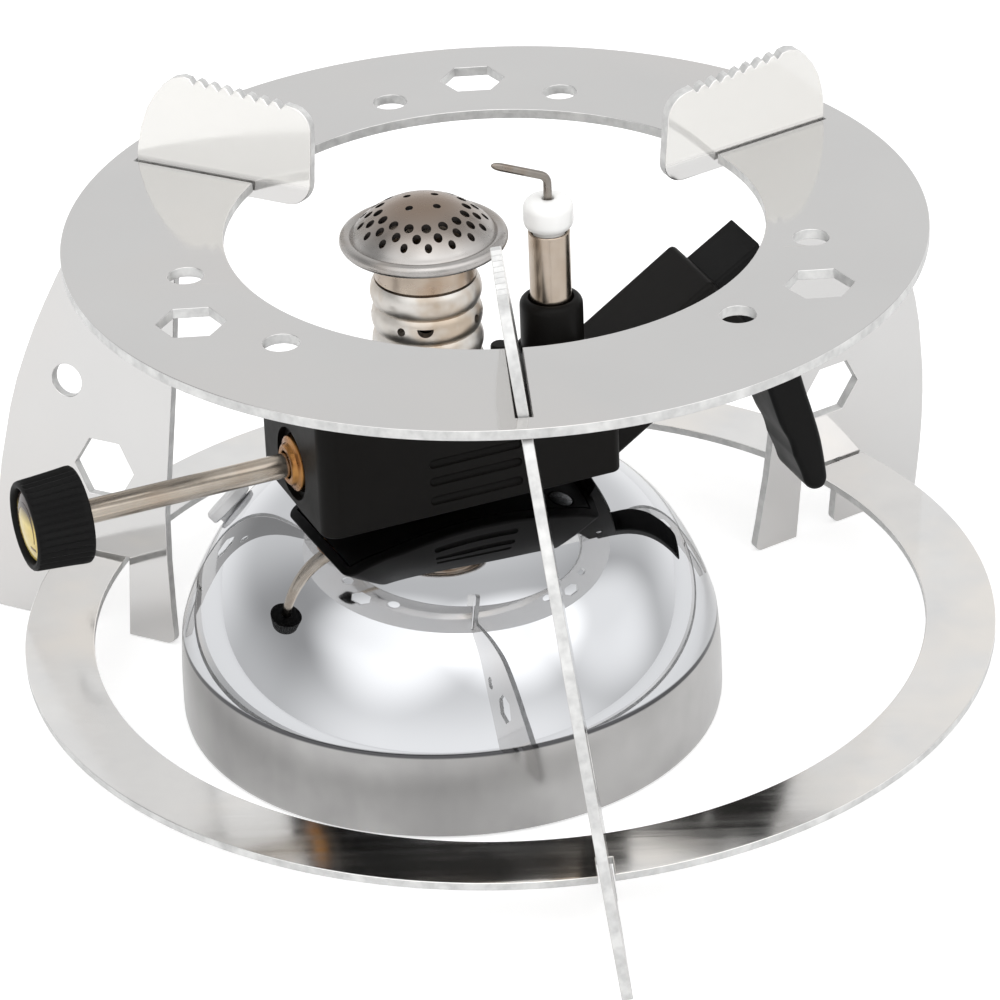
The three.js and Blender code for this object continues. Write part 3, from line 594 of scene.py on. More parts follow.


# Tank: mirror chrome above a thin dark line of painted shade along the crease, and a duller band with soft
# blotches round the foot, whose dark colours are partly painted shade
def makeChrome():
    look = chromeLook
    material, tree, shader = newFinish("tankChrome")
    place = surfacePlace(tree)
    # A thin near-black line above the band is painted shade along the crease
    shadeLineMask = addHeightMask(tree, place, look["lineTop"], look["lineTop"] - look["lineFade"])
    inBand = addHeightMask(tree, place, look["lineLow"], look["lineLow"] - look["lineFade"])
    stretch = addNode(tree, "Mapping", {"Vector": place, "Scale": look["streakStretch"]}).outputs["Vector"]
    streaks = addNoise(tree, stretch, look["streaks"], noiseDetail["clouds"])
    smears = addNoise(tree, place, look["smears"], noiseDetail["clouds"])
    dome = mixColors(tree, smears, look["domeDark"], look["dome"])
    domeWithShadeLine = mixColors(tree, shadeLineMask, dome, look["line"])
    marks = addRange(tree, streaks, *look["streakSpread"], 0, 1)
    # Dark band colours: satin finish and painted shade
    band = mixColors(tree, marks, look["bandDark"], look["band"])
    clouds = addRange(tree, smears, *look["cloudSpread"], 0, look["cloudMost"])
    band = mixColors(tree, clouds, band, look["bandPale"])
    bandGloss = addRange(tree, streaks, *look["glossSpread"], *look["bandGloss"])
    setInputs(tree, shader, {
        "Metallic": 1, "Base Color": mixColors(tree, inBand, domeWithShadeLine, band),
        "Roughness": addRange(tree, inBand, 0, 1, look["domeGloss"], bandGloss),
    })
    return material


finishes["tankChrome"] = makeChrome()

plasticLooks = {
    "housingBlack": {
        "color": (0.004, 0.0035, 0.003), "pale": (0.009, 0.0085, 0.008), "gloss": (0.36, 0.5),
        "scale": 900, "bump": 0.2, "shine": 0.09,
    },
    "leverBlack": {
        "color": (0.004, 0.004, 0.004), "pale": (0.009, 0.009, 0.009), "gloss": (0.34, 0.48),
        "scale": 1100, "bump": 0.15, "shine": 0.09,
    },
    "knobBlack": {
        "color": (0.004, 0.004, 0.004), "pale": (0.009, 0.009, 0.009), "gloss": (0.46, 0.6),
        "scale": 1500, "bump": 0.3, "shine": 0.1,
    },
    "sealBlack": {
        "color": (0.012, 0.012, 0.012), "pale": (0.03, 0.03, 0.03), "gloss": (0.7, 0.85),
        "scale": 1500, "bump": 0.2, "shine": 0.4,
    },
    "beadWhite": {
        "color": (0.86, 0.855, 0.84), "pale": (0.93, 0.93, 0.92), "gloss": (0.16, 0.28),
        "scale": 500, "bump": 0.03, "shine": 0.5,
    },
    "discYellow": {
        "color": (0.5, 0.33, 0.05), "pale": (0.88, 0.74, 0.24), "gloss": (0.06, 0.14),
        "scale": 700, "blotches": 420, "bump": 0.03, "shine": 0.5,
        # The disc's top is painted dark: painted shade
        "paintedShade": {"color": (0.035, 0.022, 0.018), "low": 44.6, "high": 46.6},
    },
    "markBlack": {
        "color": (0.12, 0.075, 0.02), "pale": (0.2, 0.13, 0.04), "gloss": (0.1, 0.2),
        "scale": 900, "bump": 0.05, "shine": 0.4,
        "paintedShade": {"color": (0.03, 0.02, 0.016), "low": 44.6, "high": 46.6},
    },
}


def makePlastic(name):
    look = plasticLooks[name]
    material, tree, shader = newFinish(name)
    place = surfacePlace(tree)
    fine = addNoise(tree, place, look["scale"], noiseDetail["lines"])
    broad = addNoise(tree, place, look.get("blotches", plainBlotches), noiseDetail["clouds"])
    color = mixColors(tree, broad, look["color"], look["pale"])
    # Painted shade darkens the top of the disc and its marks
    if "paintedShade" in look:
        shadow = addHeightMask(tree, place, look["paintedShade"]["low"], look["paintedShade"]["high"])
        color = mixColors(tree, shadow, color, look["paintedShade"]["color"])
    setInputs(tree, shader, {
        "Specular IOR Level": look["shine"], "Base Color": color,
        "Roughness": addRange(tree, broad, *spread["blotch"], *look["gloss"]),
        "Normal": addBump(tree, fine, look["bump"], bumpDepth["plastic"]),
    })
    return material


finishes.update((name, makePlastic(name)) for name in plasticLooks)
print("finishes made")

# Pan stand
standSizes = {
    "topOuter": 60, "topInner": 37.5, "topHeight": 74.5, "thickness": 1.5, "topShift": 0.1,
    "topSlotEnd": 56.8, "baseOuter": 70, "baseInner": 60, "baseHeight": 12, "baseThickness": 1.2,
    "baseSlotStart": 65.2, "frontTurn": -87.2, "legStep": 120, "lean": 7.3, "slotWidth": 2.3, "edge": 0.14,
    "roundSteps": 240, "topSteps": 70, "baseSteps": 90,
    "hexOrbit": 48.7, "hexRadius": 4.8, "holeOrbit": 44, "holeRadius": 2.5, "holeSpread": 16.4,
}


def holePoints(x, y, radius, sides=facets["small"]):
    return arcPoints(x, y, radius, 0, 360 - 360 / sides, sides - 1)


def roundOutline(radius):
    steps = standSizes["roundSteps"]
    return [turnedPoint(radius, 360 * i / steps) for i in range(steps)]


def ringWithSlots(radius, slotEnd, steps, shift):
    points = []
    half = standSizes["slotWidth"] / 2
    halfTurn = math.degrees(math.asin(half / radius))
    step = standSizes["legStep"]
    for i in range(3):
        turn = standSizes["frontTurn"] + step * i
        centre = turn + math.degrees(math.asin(shift / radius))
        points.append(turnedPoint(slotEnd, turn, shift - half))
        points.append(turnedPoint(slotEnd, turn, shift + half))
        for k in range(steps + 1):
            points.append(turnedPoint(radius, centre + halfTurn + (step - 2 * halfTurn) * k / steps))
    return points


def finishSheet(piece, look, node):
    finishPiece(piece, [look, "cutEdge"], "pan_stand", [node], flats=True)


def makeTopRing():
    s = standSizes
    holes = [ringWithSlots(s["topInner"], s["topSlotEnd"], s["topSteps"], s["topShift"])]
    for i in range(3):
        turn = s["frontTurn"] + 180 + s["legStep"] * i
        centre = turnedPoint(s["hexOrbit"], turn)
        hexagon = [turnedPoint(s["hexRadius"], turn + 90 + 60 * k) for k in range(6)]
        holes.append([(centre[0] + x, centre[1] + y) for x, y in hexagon])
        for aside in (-s["holeSpread"], s["holeSpread"]):
            holes.append(holePoints(*turnedPoint(s["holeOrbit"], turn + aside), s["holeRadius"]))
    outline = roundOutline(s["topOuter"])
    ring = sheetPiece("topRing", outline, holes, s["thickness"], s["edge"])
    moveTo(ring, 0, 0, s["topHeight"] - s["thickness"] / 2)
    finishSheet(ring, "sheetSteel", "top_ring")


def makeBaseRing():
    s = standSizes
    middle = s["baseHeight"] - s["baseThickness"] / 2
    shift = (s["topHeight"] - middle) * math.tan(math.radians(s["lean"]))
    outline = ringWithSlots(s["baseOuter"], s["baseSlotStart"], s["baseSteps"], shift)
    holes = [roundOutline(s["baseInner"])]
    ring = sheetPiece("baseRing", outline, holes, s["baseThickness"], s["edge"])
    moveTo(ring, 0, 0, middle)
    finishSheet(ring, "baseSteel", "base_ring")


legSizes = {
    "tabInner": 28.5, "tabOuter": 56.5, "tabHeel": 49.5, "tabTop": 13.5, "tabToe": 11.9, "tabDrop": 2.6,
    "corner": 3.5, "toothPitch": 2, "toothDepth": 0.8, "toothCount": 8, "toothStart": 32,
    "toothShape": [(0, 0.8), (0.55, 0.12), (0.7, 0), (0.85, 0.12), (1.4, 0.8)],
    "roundHole": (68.8, -36.3, 2.5), "hexHole": (62.6, -49.1, 5),
    "underRing": -1.91, "shoulder": 59.6, "foot": -75.01, "notch": -62.6,
    "footOuter": 81.3, "footInner": 65.5, "prongOuter": 58.5, "prongInner": 50.8,
    "neck": 50.2, "fillet": 5, "filletSteps": 8, "toe": 1.2, "toeSteps": 5, "cornerSteps": 10, "edge": 0.14,
}
legOuterEdge = [
    (60.4, -2.3), (62.4, -4.8), (65, -9.9), (67.7, -15), (70.3, -20.2), (72.4, -24.6), (74.3, -28.9),
    (76, -33.4), (77.5, -37.8), (78.7, -42.4), (79.6, -47.2), (80.4, -51.6), (80.9, -56), (81.25, -60.6),
    (81.4, -65), (81.38, -70),
]
legInnerEdge = [(50.35, -12), (50.7, -24), (51.1, -35), (51.7, -46), (52.2, -54.3), (51.9, -62), (51.2, -70)]
tabOuterEdge = [(56.5, 0), (56.4, 2), (55.9, 5), (54.9, 8), (53.6, 10.2), (52.2, 11.9), (50.7, 13.1),
                (49.2, 13.55)]


def makeLegs():
    s = legSizes
    toeHeight = s["foot"] + s["toe"]
    points = [*legInnerEdge, (s["prongInner"], toeHeight)]
    points += arcPoints(s["prongInner"] + s["toe"], toeHeight, s["toe"], 180, 270, s["toeSteps"])
    points += [(s["prongOuter"], s["foot"]), (s["prongOuter"], s["notch"]), (s["footInner"], s["notch"])]
    points += arcPoints(s["footInner"] + s["toe"], toeHeight, s["toe"], 180, 270, s["toeSteps"])
    points += [(s["footOuter"], s["foot"]), *reversed(legOuterEdge)]
    points += [(s["shoulder"], s["underRing"]), (s["tabOuter"], s["underRing"]), *tabOuterEdge]
    slope = (s["tabTop"] - s["tabToe"]) / (s["tabHeel"] - s["toothStart"])
    for i in range(s["toothCount"], 0, -1):
        right = s["toothStart"] + s["toothPitch"] * i
        valley = s["tabToe"] + (right - s["toothStart"]) * slope - s["toothDepth"]
        points += [(right - back, valley + rise) for back, rise in s["toothShape"]]
    across, steps = s["tabInner"] + s["corner"], s["cornerSteps"]
    points += arcPoints(across, s["tabToe"] - s["corner"], s["corner"], 90, 180, steps)
    points += arcPoints(across, s["corner"] - s["tabDrop"], s["corner"], 180, 270, steps)
    down = -s["tabDrop"] - s["fillet"]
    points += arcPoints(s["neck"] - s["fillet"], down, s["fillet"], 90, 0, s["filletSteps"])
    holes = [holePoints(*s["roundHole"]), holePoints(*s["hexHole"], 6)]
    leg = sheetPiece("legFront", points, holes, standSizes["thickness"], s["edge"])
    for i, name in enumerate(("Front", "Right", "Left")):
        plate = copyPiece(leg)
        plate.name = "leg" + name
        standUp(plate)
        plate.rotation_euler = (math.radians(standSizes["lean"]), 0, 0)
        plate.location = (0, 0, standSizes["topHeight"] * mm)
        applyPlace(plate)
        plate.rotation_euler = (0, 0, math.radians(standSizes["frontTurn"] + standSizes["legStep"] * i))
        applyPlace(plate)
        finishSheet(plate, "legSteel", "leg_" + name.lower())
    pick(leg)
    bpy.ops.object.delete()


makeTopRing()
makeBaseRing()
makeLegs()
print("pan stand made")

# Tank: one pressed shell, a flattish crown, rounded shoulder and a nearly upright wall below a soft crease
tankSizes = {
    "crown": 36, "skin": 0.8, "throat": 4.6, "sides": 192,
    "arcs": [{"radius": 101.5, "tilt": 11.1, "steps": 8}, {"radius": 21.6, "tilt": 57.7, "steps": 20},
             {"radius": 41.6, "tilt": 74, "steps": 12}, {"radius": 4, "tilt": 84, "steps": 6},
             {"radius": 86, "tilt": 90, "steps": 6}],
    "foot": [(37.1, 0.3), (38.3, 0.3), (38.7, 0.4), (38.95, 0.7), (39.07, 1.3), (39.1, 2.5)],
    "insideFoot": (37.1, 2.4),
}


# Outline from the belly up to the throat, set in from the outer face
def domeRings(inset):
    s = tankSizes
    radius, height = s["throat"], s["crown"] - inset
    rings = [(radius, height)]
    tilt = math.asin(s["throat"] / (s["arcs"][0]["radius"] - inset))
    for arc in s["arcs"]:
        size, end = arc["radius"] - inset, math.radians(arc["tilt"])
        centre = (radius - size * math.sin(tilt), height - size * math.cos(tilt))
        for i in range(1, arc["steps"] + 1):
            turn = tilt + (end - tilt) * i / arc["steps"]
            rings.append((centre[0] + size * math.sin(turn), centre[1] + size * math.cos(turn)))
        radius, height = rings[-1]
        tilt = end
    return rings[::-1]


def makeTank():
    s = tankSizes
    rings = s["foot"] + domeRings(0) + domeRings(s["skin"])[::-1] + [s["insideFoot"]]
    tank = turnPiece("tankShell", rings, s["sides"], closed=True)
    setInStand(tank)
    finishPiece(tank, ["tankChrome"], "burner", ["tank_shell"])


neckRings = [
    (2.1, 30.5), (4.05, 30.5), (4.2, 30.7), (4.2, 36.3), (5.6, 36.3), (5.8, 36.45), (5.8, 36.85), (5.65, 37),
    (4.2, 37), (4.2, 39.1), (4, 39.3), (2.1, 39.3),
]
fillerSizes = {
    "turn": 137.6, "orbit": 32.3, "height": 25.6, "tilt": 47,
    "rings": [(2.6, -8), (2.6, 0.8), (3.4, 0.8), (3.6, 1), (3.6, 2.2), (3.3, 2.6), (1.6, 2.6), (1.1, 2.3),
              (1.1, 0.4)],
    "pin": {"radius": 0.5, "low": 0.3, "high": 2.1},
}


def makeFiller():
    s = fillerSizes
    valve = turnPiece("fillerValve", s["rings"], facets["small"])
    pin = barPiece("fillerPin", s["pin"]["radius"], s["pin"]["low"], s["pin"]["high"], facets["dot"])
    combine(valve, pin, "UNION")
    valve.rotation_euler = (0, math.radians(s["tilt"]), 0)
    moveTo(valve, s["orbit"], 0, s["height"])
    valve.rotation_euler = (0, 0, math.radians(s["turn"]))
    applyPlace(valve)
    setInStand(valve)
    finishPiece(valve, ["fillerSteel"], "burner", ["filler_valve"])


makeTank()
makeTurned("tankNeck", neckRings, "middle", "hiddenSteel", "tank_neck")
makeFiller()
print("tank made")

# Black housing with the hollow arm that guides the lever
bodySizes = {
    "left": -22.7, "right": 22.3, "half": 12.5, "low": 37.3, "top": 52.5, "wall": 2, "floor": 38.9, "over": 2,
    "corner": 1.4, "cornerSteps": 6, "leftCorner": 2.4, "leftCornerSteps": 8, "edge": 0.45, "crest": 2.2,
    "crestSpare": 0.06,
    "roof": 42, "roofShift": 0.3, "roofOver": 0.03, "roofSides": 240,
    "rodHeight": 43.7, "glandWay": 4.35, "recess": 5.3, "recessDepth": 1, "tubeX": -1.3, "tubeWay": 8.1,
    "cell": 9.8, "cellHalf": 3.8, "cellTop": 47.4,
    "sparkX": 17.5, "sparkWay": 4.3, "seat": 5.1, "seatWay": 4.8,
    "post": {"x": 9.5, "radius": 1.4, "rise": 2.4, "edge": 0.35},
    "grooves": [45.6, 42.8, 39.8], "grooveHalf": 7, "grooveRadius": 0.7, "grooveEnd": 0.63, "grooveSteps": 5,
    "screwX": 15.5, "screwY": 8, "screwWay": 1.2, "screwDepth": 7.3,
}
armSizes = {
    "half": 7, "height": 11.8, "tilt": 33.5, "endX": 39.5, "endZ": 60.8, "reach": 30, "wall": 1.5,
    "open": 21.3, "edge": 0.85, "cavityHalf": 5.3, "pivotX": 37.171, "pivotZ": 52.543, "pinWay": 1.3,
}


def armBox(name, x0, x1, half, z0, z1, edge=0):
    block = boxPiece(name, (x0, -half, z0), (x1, half, z1))
    if edge:
        bevelWhere(block, edge, lambda a, b: True)
    block.rotation_euler = (0, -math.radians(armSizes["tilt"]), 0)
    moveTo(block, armSizes["endX"], 0, armSizes["endZ"])
    return block


def crossBar(name, radius, half, x, z):
    bar = barPiece(name, radius, -half, half, facets["pin"])
    standUp(bar)
    moveTo(bar, x, 0, z)
    return bar


# The top is an arc that starts level at the front and falls away to the rear
def roofBar(s, inset, overhang, edge=0):
    bar = barPiece("roof", s["roof"] - inset, s["left"] - overhang, s["right"] + overhang, s["roofSides"])
    if edge:
        bevelWhere(bar, edge, isLevel)
    layAlongRod(bar, s["top"] + s["crest"] - s["roof"])
    moveTo(bar, 0, -s["half"] - s["roofShift"], 0)
    return bar


# An upright bar, cut out of a piece or added to it
def addUpright(piece, name, radius, low, high, sides, x, y=0, operation="DIFFERENCE"):
    tool = barPiece(name, radius, low, high, facets[sides])
    moveTo(tool, x, y, 0)
    combine(piece, tool, operation)


def roundedBlock(s):
    top = s["top"] + s["crest"] + s["crestSpare"]
    block = boxPiece("body", (s["left"], -s["half"], s["low"]), (s["right"], s["half"], top))
    bevelWhere(block, s["leftCorner"], lambda a, b: isUpright(a, b) and a.x < 0, s["leftCornerSteps"])
    bevelWhere(block, s["corner"], lambda a, b: isUpright(a, b) and a.x > s["right"] - weldGap,
               s["cornerSteps"])
    middle = (s["low"] + top) / 2
    bevelWhere(block, s["edge"], lambda a, b: isLevel(a, b) and abs(a.z - middle) > top - middle - weldGap)
    combine(block, roofBar(s, 0, s["roofOver"], s["edge"]), "INTERSECT")
    seatTop = s["top"] + s["roofShift"]
    addUpright(block, "seat", s["seat"], s["rodHeight"], seatTop, "middle", s["sparkX"], operation="UNION")
    return block


def cutAlongRod(piece, name, radius, low, high):
    tool = barPiece(name, radius, low, high, facets["middle"])
    layAlongRod(tool, bodySizes["rodHeight"])
    combine(piece, tool)


def makeBody():
    s, a = bodySizes, armSizes
    body = roundedBlock(s)
    sleeve = armBox("arm", -a["reach"], 0, a["half"], -a["height"], 0, a["edge"])
    trimPiece(sleeve, (s["right"] - s["wall"] / 2, 0, 0), (1, 0, 0))
    combine(body, sleeve, "UNION")
    postTop = s["top"] + s["post"]["rise"]
    post = barPiece("post", s["post"]["radius"], s["top"] - s["over"], postTop, facets["post"])
    bevelWhere(post, s["post"]["edge"], lambda p, q: isLevel(p, q) and p.z > s["top"])
    moveTo(post, s["post"]["x"], 0, 0)
    combine(body, post, "UNION")
    below, back = s["low"] - s["over"], s["half"] - s["wall"]
    room = boxPiece("room", (s["left"] + s["wall"], -back, below), (s["cell"], back, s["top"] - s["wall"]))
    combine(room, roofBar(s, s["wall"], s["over"]), "INTERSECT")
    combine(body, room)
    end = s["right"] + s["over"]
    combine(body, boxPiece("cell", (0, -s["cellHalf"], s["floor"]), (end, s["cellHalf"], s["cellTop"])))
    combine(body, boxPiece("floorWay", (0, -back, below), (s["right"] - s["wall"], back, s["floor"])))
    inside = armBox("inside", -a["reach"], s["over"], a["cavityHalf"], a["wall"] - a["height"], -a["wall"])
    trimPiece(inside, (s["right"] - s["wall"], 0, 0), (1, 0, 0))
    combine(body, inside)
    under = -a["height"] - s["over"]
    combine(body, armBox("below", -a["open"], s["over"], a["cavityHalf"], under, -a["wall"]))
    combine(body, crossBar("pinWay", a["pinWay"], a["half"] + s["over"], a["pivotX"], a["pivotZ"]))
    above = s["top"] + s["crest"] + s["over"]
    addUpright(body, "tubeWay", s["tubeWay"], s["rodHeight"], above, "wide", s["tubeX"])
    addUpright(body, "sparkWay", s["sparkWay"], s["cellTop"] - seatGap, above, "middle", s["sparkX"])
    addUpright(body, "seatWay", s["seatWay"], s["top"], above, "middle", s["sparkX"])
    cutAlongRod(body, "glandWay", s["glandWay"], s["left"] - s["over"], s["left"] + 2 * s["over"])
    cutAlongRod(body, "recess", s["recess"], s["left"] - s["over"], s["left"] + s["recessDepth"])
    for height in s["grooves"]:
        groove = barPiece("groove", s["grooveRadius"], -s["grooveHalf"], s["grooveHalf"], facets["post"])
        bevelWhere(groove, s["grooveEnd"], isLevel, s["grooveSteps"])
        layAlongRod(groove, height)
        moveTo(groove, 0, -s["half"], 0)
        combine(body, groove)
    high = s["low"] + s["screwDepth"]
    for away in (-s["screwY"], s["screwY"]):
        addUpright(body, "screwWay", s["screwWay"], s["low"], high, "screw", s["screwX"], away)
    faceOutwards(body)
    setInStand(body)
    finishPiece(body, ["housingBlack"], "burner", ["body"], flats=True)


makeBody()
print("housing made")

# Gland nut, rod, knob and disc lie along the housing's axis at the rod's height
nutRings = [
    (2.05, -23.45), (2.15, -23.55), (2.7, -23.55), (2.92, -23.4), (3.02, -23.1), (3.12, -22.9), (3.3, -22.8),
    (3.75, -22.75), (3.95, -22.65), (4.05, -22.4), (4.05, -17.5), (2.05, -17.5),
]
rodRings = [(1.5, -57), (1.75, -56.75), (1.75, -9.45), (1.6, -9.3), (0.8, -9.3), (0.4, -6.5)]
knobSizes = {
    "rings": [(2.05, -57.3), (2.05, -53.8), (6.3, -53.8), (6.68, -53.88), (6.85, -54.1), (6.88, -54.45),
              (6.84, -55), (6.74, -56), (6.62, -57.5), (6.5, -59.2), (6.4, -60.8), (6.36, -61.4),
              (6.27, -61.72), (6.05, -61.92), (5.78, -62), (5.52, -61.92), (5.34, -61.65), (5.28, -61.1),
              (5.28, -60.2)],
    "flutes": 36, "columns": 4, "shares": {1: 0.98, 2: 0.955, 3: 0.98},
    "fluteFrom": -61.5, "fluteTo": -54.2, "fluteOver": 6.1,
}
discSizes = {
    "rings": [(5, -60.5), (5, -61), (4.93, -61.16), (4.72, -61.3), (4.3, -61.44), (3.6, -61.62),
              (2.7, -61.79), (1.8, -61.9), (0.9, -61.97), (0.3, -61.99)],
    "markRise": 0.04, "markLow": -62.3, "markDeep": 1.6, "markEdge": 0.01, "plusX": 2.6, "plusY": -2.3,
    "plus": 0.75, "stroke": 0.2, "wedgeInner": 2.4, "wedgeOuter": 3.5, "wedgeFrom": 200, "wedgeTo": -20,
    "wedgeSteps": 24, "wedgeTip": 0.12,
}


def layInPlace(piece):
    layAlongRod(piece, bodySizes["rodHeight"])
    setInStand(piece)


def makeLaid(name, rings, closed, finish, body, node):
    piece = turnPiece(name, rings, facets["middle"], closed)
    layInPlace(piece)
    finishPiece(piece, [finish], body, [node])


# Every flute takes three columns of points, pulled in toward the rod
def makeKnob():
    s = knobSizes
    sides = s["columns"] * s["flutes"]
    knob = turnPiece("knob", s["rings"], sides)

    def inColumn(point, column):
        far = math.hypot(point.x, point.y) > s["fluteOver"] and s["fluteFrom"] < point.z < s["fluteTo"]
        turn = math.degrees(math.atan2(point.y, point.x))
        return far and round(turn * sides / 360) % s["columns"] == column

    for column, share in s["shares"].items():
        selectWhere(knob, "VERT", lambda point: inColumn(point, column))
        bpy.ops.transform.resize(value=(share, share, 1), center_override=(0, 0, 0))
        setMode("OBJECT")
    layInPlace(knob)
    finishPiece(knob, ["knobBlack"], "gas_control", ["knob"], smooth="domed")


# Plus and minus marks joined by a wedge that widens from one to the other
def discMarks(s):
    wedge = arcPoints(0, 0, s["wedgeOuter"], s["wedgeFrom"], s["wedgeTo"], s["wedgeSteps"])
    for i in range(s["wedgeSteps"] + 1):
        share = i / s["wedgeSteps"]
        reach = s["wedgeInner"] + (s["wedgeOuter"] - s["wedgeInner"] - s["wedgeTip"]) * share
        wedge.append(turnedPoint(reach, s["wedgeTo"] + (s["wedgeFrom"] - s["wedgeTo"]) * share))
    long, thin = s["plus"], s["stroke"]
    bar = [(-long, -thin), (long, -thin), (long, thin), (-long, thin)]
    cross = [(-long, -thin), (-thin, -thin), (-thin, -long), (thin, -long), (thin, -thin), (long, -thin),
             (long, thin), (thin, thin), (thin, long), (-thin, long), (-thin, thin), (-long, thin)]
    marks = []
    for name, outline, x, y in (("wedge", wedge, 0, 0), ("plus", cross, s["plusX"], s["plusY"]),
                                ("minus", bar, -s["plusX"], s["plusY"])):
        mark = sheetPiece(name, [(px + x, py + y) for px, py in outline], [], s["markDeep"], s["markEdge"], 0)
        moveTo(mark, 0, 0, s["markLow"] + s["markDeep"] / 2)
        marks.append(mark)
    return marks


def makeDisc():
    s = discSizes
    disc = turnPiece("knobDisc", s["rings"], facets["wide"])
    skin = copyPiece(disc)
    skin.name = "knobDiscMarks"
    moveTo(skin, 0, 0, -s["markRise"])
    combine(skin, joinPieces(discMarks(s)), "INTERSECT")
    for piece, finish in ((disc, "discYellow"), (skin, "markBlack")):
        piece.rotation_euler = (0, 0, math.pi / 2)
        applyPlace(piece)
        layInPlace(piece)
        nodes = ["knob_disc"] if piece is disc else []
        finishPiece(piece, [finish], "gas_control", nodes)


makeLaid("glandNut", nutRings, True, "brassParts", "burner", "gland_nut")
makeLaid("controlRod", rodRings, False, "rodSteel", "gas_control", "control_rod")
makeKnob()
makeDisc()
print("gas control made")

# Corrugated tube, collar and perforated cap stand on one axis
tubeSizes = {
    "x": -1.3, "bore": 6.4, "groove": 7.15, "bulge": 0.65, "foot": 48.1, "top": 68.2, "pitch": 3.8,
    "count": 5, "steps": 10, "fullness": 0.75, "over": 1,
    "holeRows": [
        {"turns": [-114, -24, 66, 156], "radius": 1.15, "height": 63.5, "sides": "pin", "halved": True},
        {"turns": [-140, -50, 40, 130], "radius": 0.6, "height": 62.9, "sides": "screw", "halved": False},
    ],
}
collarRings = [
    (5.5, 65.2), (6.1, 65.2), (6.1, 68.5), (7.02, 68.5), (7.1, 68.58), (7.1, 71.5), (7.22, 71.95),
    (7.65, 72.35), (8.5, 72.65), (9.5, 72.8), (9.7, 72.92), (9.7, 73.32), (9.55, 73.4), (7.3, 73.15),
    (6.3, 72.7), (5.7, 72.1), (5.5, 71.5),
]
capSizes = {
    "dome": 10.3, "base": 74.55, "apex": 79.8, "skin": 0.6, "crease": (9.95, 74.83), "outerEnd": 9.85,
    "innerEnd": 9.25, "pole": 0.3, "steps": 24, "sides": 144, "shadeDepth": 0.15,
    "bead": 0.95, "beadOrbit": 10.75, "beadHeight": 74.05, "beadFrom": 180, "beadTo": 495, "beadSteps": 28,
    "drillLow": 74.35, "drillHigh": 80.8, "drillSides": 14,
    "holeRows": [{"orbit": 2.7, "count": 4, "phase": 27, "radius": 0.55},
                 {"orbit": 6.1, "count": 16, "phase": 5, "radius": 0.68},
                 {"orbit": 7.5, "count": 16, "phase": 16.25, "radius": 0.62},
                 {"orbit": 8.6, "count": 16, "phase": 5, "radius": 0.52}],
}


def makeTube():
    s = tubeSizes
    rings = [(s["bore"], s["foot"]), (s["groove"], s["foot"])]
    start = s["top"] - s["pitch"] * s["count"]
    for i in range(s["count"] * s["steps"] + 1):
        swell = abs(math.sin(math.pi * i / s["steps"])) ** s["fullness"]
        rings.append((s["groove"] + s["bulge"] * swell, start + s["pitch"] * i / s["steps"]))
    rings.append((s["bore"], s["top"]))
    tube = turnPiece("burnerTube", rings, facets["widest"], closed=True)
    drills = []
    near, far = s["bore"] - s["over"], s["groove"] + 2 * s["over"]
    for row in s["holeRows"]:
        for turn in row["turns"]:
            drill = barPiece("hole", row["radius"], near, far, facets[row["sides"]])
            layAlongRod(drill, 0)
            if row["halved"]:
                trimPiece(drill, (0, 0, 0), (0, 0, -1))
            drill.rotation_euler = (0, 0, math.radians(turn))
            moveTo(drill, 0, 0, row["height"])
            drills.append(drill)
    combine(tube, joinPieces(drills))
    moveTo(tube, s["x"], 0, 0)
    setInStand(tube)
    finishPiece(tube, ["tubeSteel"], "burner", ["burner_tube"], smooth="ribbed")


def makeCap():
    s = capSizes
    height = s["apex"] - s["base"]
    sphere = (s["dome"] ** 2 + height ** 2) / (2 * height)
    centre = s["apex"] - sphere
    rings = []
    for i in range(s["steps"] + 1):
        radius = s["pole"] + (s["innerEnd"] - s["pole"]) * i / s["steps"]
        rings.append((radius, centre + math.sqrt((sphere - s["skin"]) ** 2 - radius ** 2)))
    rings += arcPoints(s["beadOrbit"], s["beadHeight"], s["bead"], s["beadFrom"], s["beadTo"], s["beadSteps"])
    rings.append(s["crease"])
    for i in range(s["steps"] + 1):
        radius = s["outerEnd"] + (s["pole"] - s["outerEnd"]) * i / s["steps"]
        rings.append((radius, centre + math.sqrt(sphere ** 2 - radius ** 2)))
    cap = turnPiece("burnerCap", rings, s["sides"])
    drills = []
    for row in s["holeRows"]:
        for i in range(row["count"]):
            drill = barPiece("capHole", row["radius"], s["drillLow"], s["drillHigh"], s["drillSides"])
            x, y = turnedPoint(row["orbit"], row["phase"] + 360 / row["count"] * i)
            drill.location = (x * mm, y * mm, 0)
            drills.append(drill)
    combine(cap, joinPieces(drills))
    # Faces inside the skin, the holes' walls and the underside, get the near-black painted shade
    for face in cap.data.polygons:
        spot = face.center / mm
        depth = sphere - (spot - Vector((0, 0, centre))).length
        face.material_index = int(depth > s["shadeDepth"] and math.hypot(spot.x, spot.y) < s["outerEnd"])
    moveTo(cap, tubeSizes["x"], 0, 0)
    setInStand(cap)
    finishPiece(cap, ["capSteel", "capShadeSteel"], "burner", ["burner_cap"], smooth="domed")


makeTube()
makeTurned("tubeCollar", collarRings, "widest", "neckSteel", "tube_collar", tubeSizes["x"],
           "domed")
makeCap()
print("burner head made")

